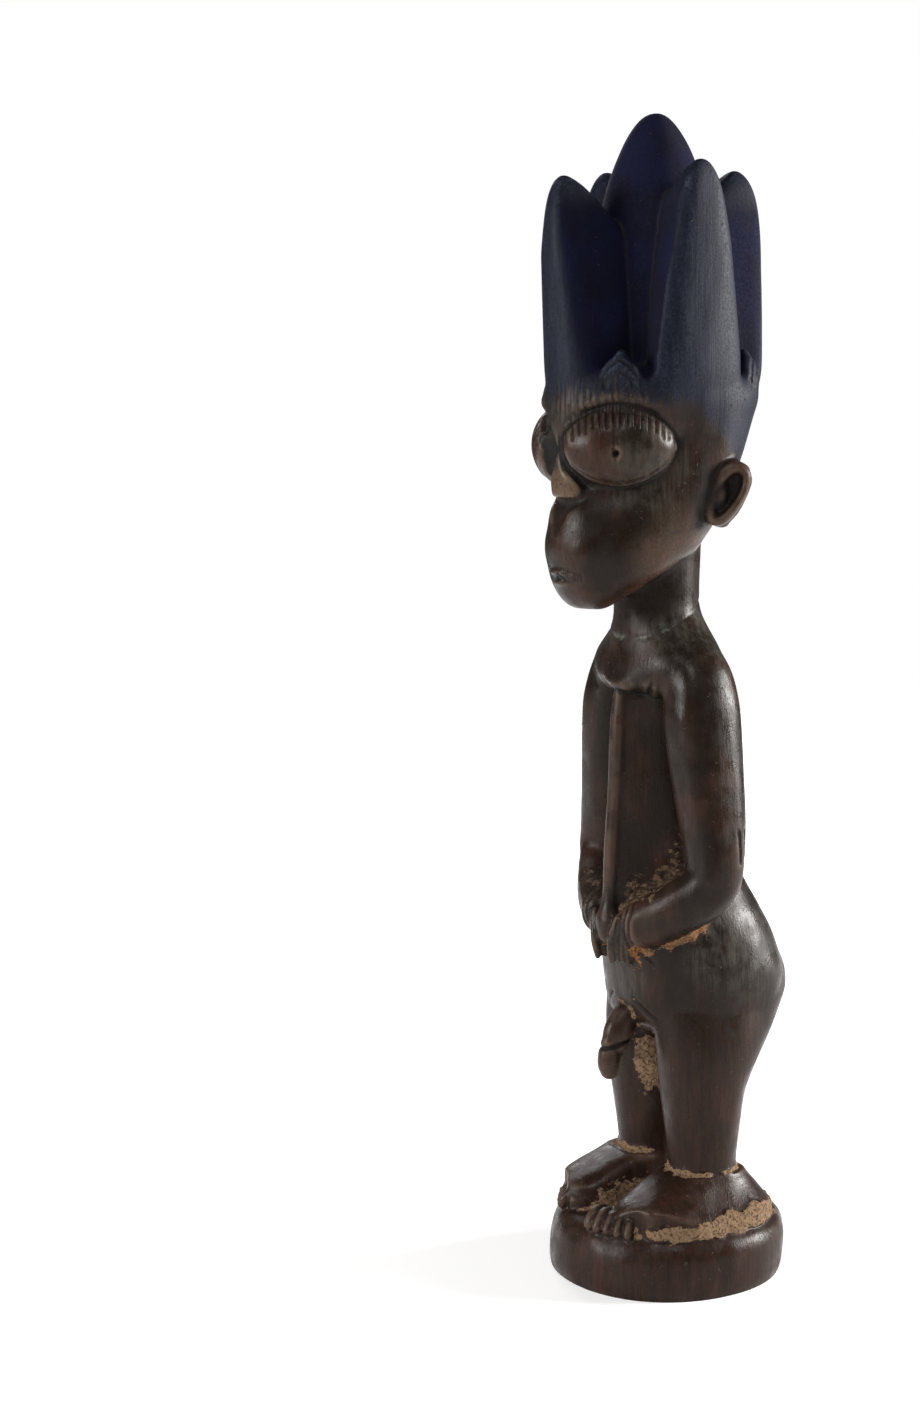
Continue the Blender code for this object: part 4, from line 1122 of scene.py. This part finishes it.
def addCamera():
    turn, pitch, roll = (np.radians(view[k]) for k in ("turn", "pitch", "roll"))
    wide, tall = view["imageSize"]
    aside = np.arctan2((view["figureAt"] - wide / 2) * np.cos(pitch), view["focalPixels"])
    inward = np.array([-np.sin(turn), np.cos(turn), 0.0])
    rightward = np.array([np.cos(turn), np.sin(turn), 0.0])
    level = np.cos(aside) * inward - np.sin(aside) * rightward
    right = np.cos(aside) * rightward + np.sin(aside) * inward
    ahead = np.cos(pitch) * level + np.array([0.0, 0.0, -np.sin(pitch)])
    up = np.cross(right, ahead)
    rolledRight = np.cos(roll) * right + np.sin(roll) * up
    rolledUp = -np.sin(roll) * right + np.cos(roll) * up
    place = -inward * view["distance"] + (0, 0, view["height"])
    data = bpy.data.cameras.new("camera")
    data.sensor_width = 36.0
    data.lens = 36.0 * view["focalPixels"] / tall
    data.clip_start = 0.01
    camera = linked("camera", data)
    matrix = np.eye(4)
    matrix[:3, 0], matrix[:3, 1], matrix[:3, 2] = rolledRight, rolledUp, -ahead
    matrix[:3, 3] = place * mm
    camera.matrix_world = Matrix(matrix.tolist())
    bpy.context.scene.camera = camera


# Soft boxes stand behind its left shoulder, before its face, high in front and on its far side.
studio = {
    "roomLight": 0.12,
    "backdrop": 1.0,
    "lights": [
        # name, place in metres, size in metres, watts, colour
        ("rightBox", (0.50, 1.02, 0.40), 0.50, 32.0, (1.0, 0.985, 0.965)),
        ("leftBox", (-0.24, -1.05, 0.40), 0.50, 11.0, (1.0, 0.99, 0.98)),
        ("frontBox", (0.62, -0.55, 1.05), 0.45, 5.5, (1.0, 0.99, 0.975)),
        ("farFill", (-1.00, 0.30, 0.60), 0.50, 4.0, (1.0, 1.0, 1.0)),
    ],
}


def addStudio():
    world = bpy.data.worlds.new("studio")
    bpy.context.scene.world = world
    world.use_nodes = True
    tree = world.node_tree
    background = tree.nodes["Background"]
    background.inputs["Color"].default_value = (1, 1, 1, 1)
    limits = {"From Min": 0.0, "From Max": 1.0, "To Min": studio["roomLight"], "To Max": studio["backdrop"]}
    seen = addNode(tree, "LightPath").outputs["Is Camera Ray"]
    strength = addNode(tree, "MapRange", {"Value": seen, **limits}).outputs[0]
    tree.links.new(strength, background.inputs["Strength"])
    for name, place, size, watts, colour in studio["lights"]:
        data = bpy.data.lights.new(name, "AREA")
        data.shape = "DISK"
        data.size = size
        data.energy = watts
        data.color = colour
        light = linked(name, data)
        aim = np.array([0, 0, 0.14]) - np.array(place)
        back = -aim / np.linalg.norm(aim)
        right = np.cross((0, 0, 1), back)
        right /= np.linalg.norm(right)
        turned = np.eye(4)
        turned[:3, 0], turned[:3, 1], turned[:3, 2], turned[:3, 3] = right, np.cross(back, right), back, place
        light.matrix_world = Matrix(turned.tolist())


# A flat white sheet, 1.6 m wide. Its glow grows away from the figure, where the lamps no longer reach.
def addFloor():
    mesh = bpy.data.meshes.new("floor")
    corners = np.array([(-0.8, -0.8, 0), (0.8, -0.8, 0), (0.8, 0.8, 0), (-0.8, 0.8, 0)])
    mesh.from_pydata(corners.tolist(), [], [(0, 1, 2, 3)])
    floor = linked("floor", mesh)
    material = bpy.data.materials.new("paleFloor")
    material.use_nodes = True
    shader = material.node_tree.nodes["Principled BSDF"]
    shader.inputs["Base Color"].default_value = (0.8, 0.8, 0.8, 1)
    shader.inputs["Roughness"].default_value = 0.8
    shader.inputs["Specular IOR Level"].default_value = 0.1
    shader.inputs["Emission Color"].default_value = (1, 1, 1, 1)
    tree = material.node_tree
    place = addNode(tree, "TexCoord").outputs["Object"]
    distance = addNode(tree, "VectorMath", {0: place}, operation="LENGTH").outputs["Value"]
    limits = {"From Min": 0.05, "From Max": 0.7, "To Min": 0.32, "To Max": 0.90}
    glow = addNode(tree, "MapRange", {"Value": distance, **limits}).outputs[0]
    tree.links.new(glow, shader.inputs["Emission Strength"])
    mesh.materials.append(material)


bpy.context.scene.view_settings.view_transform = "Standard"
addCamera()
addStudio()
addFloor()
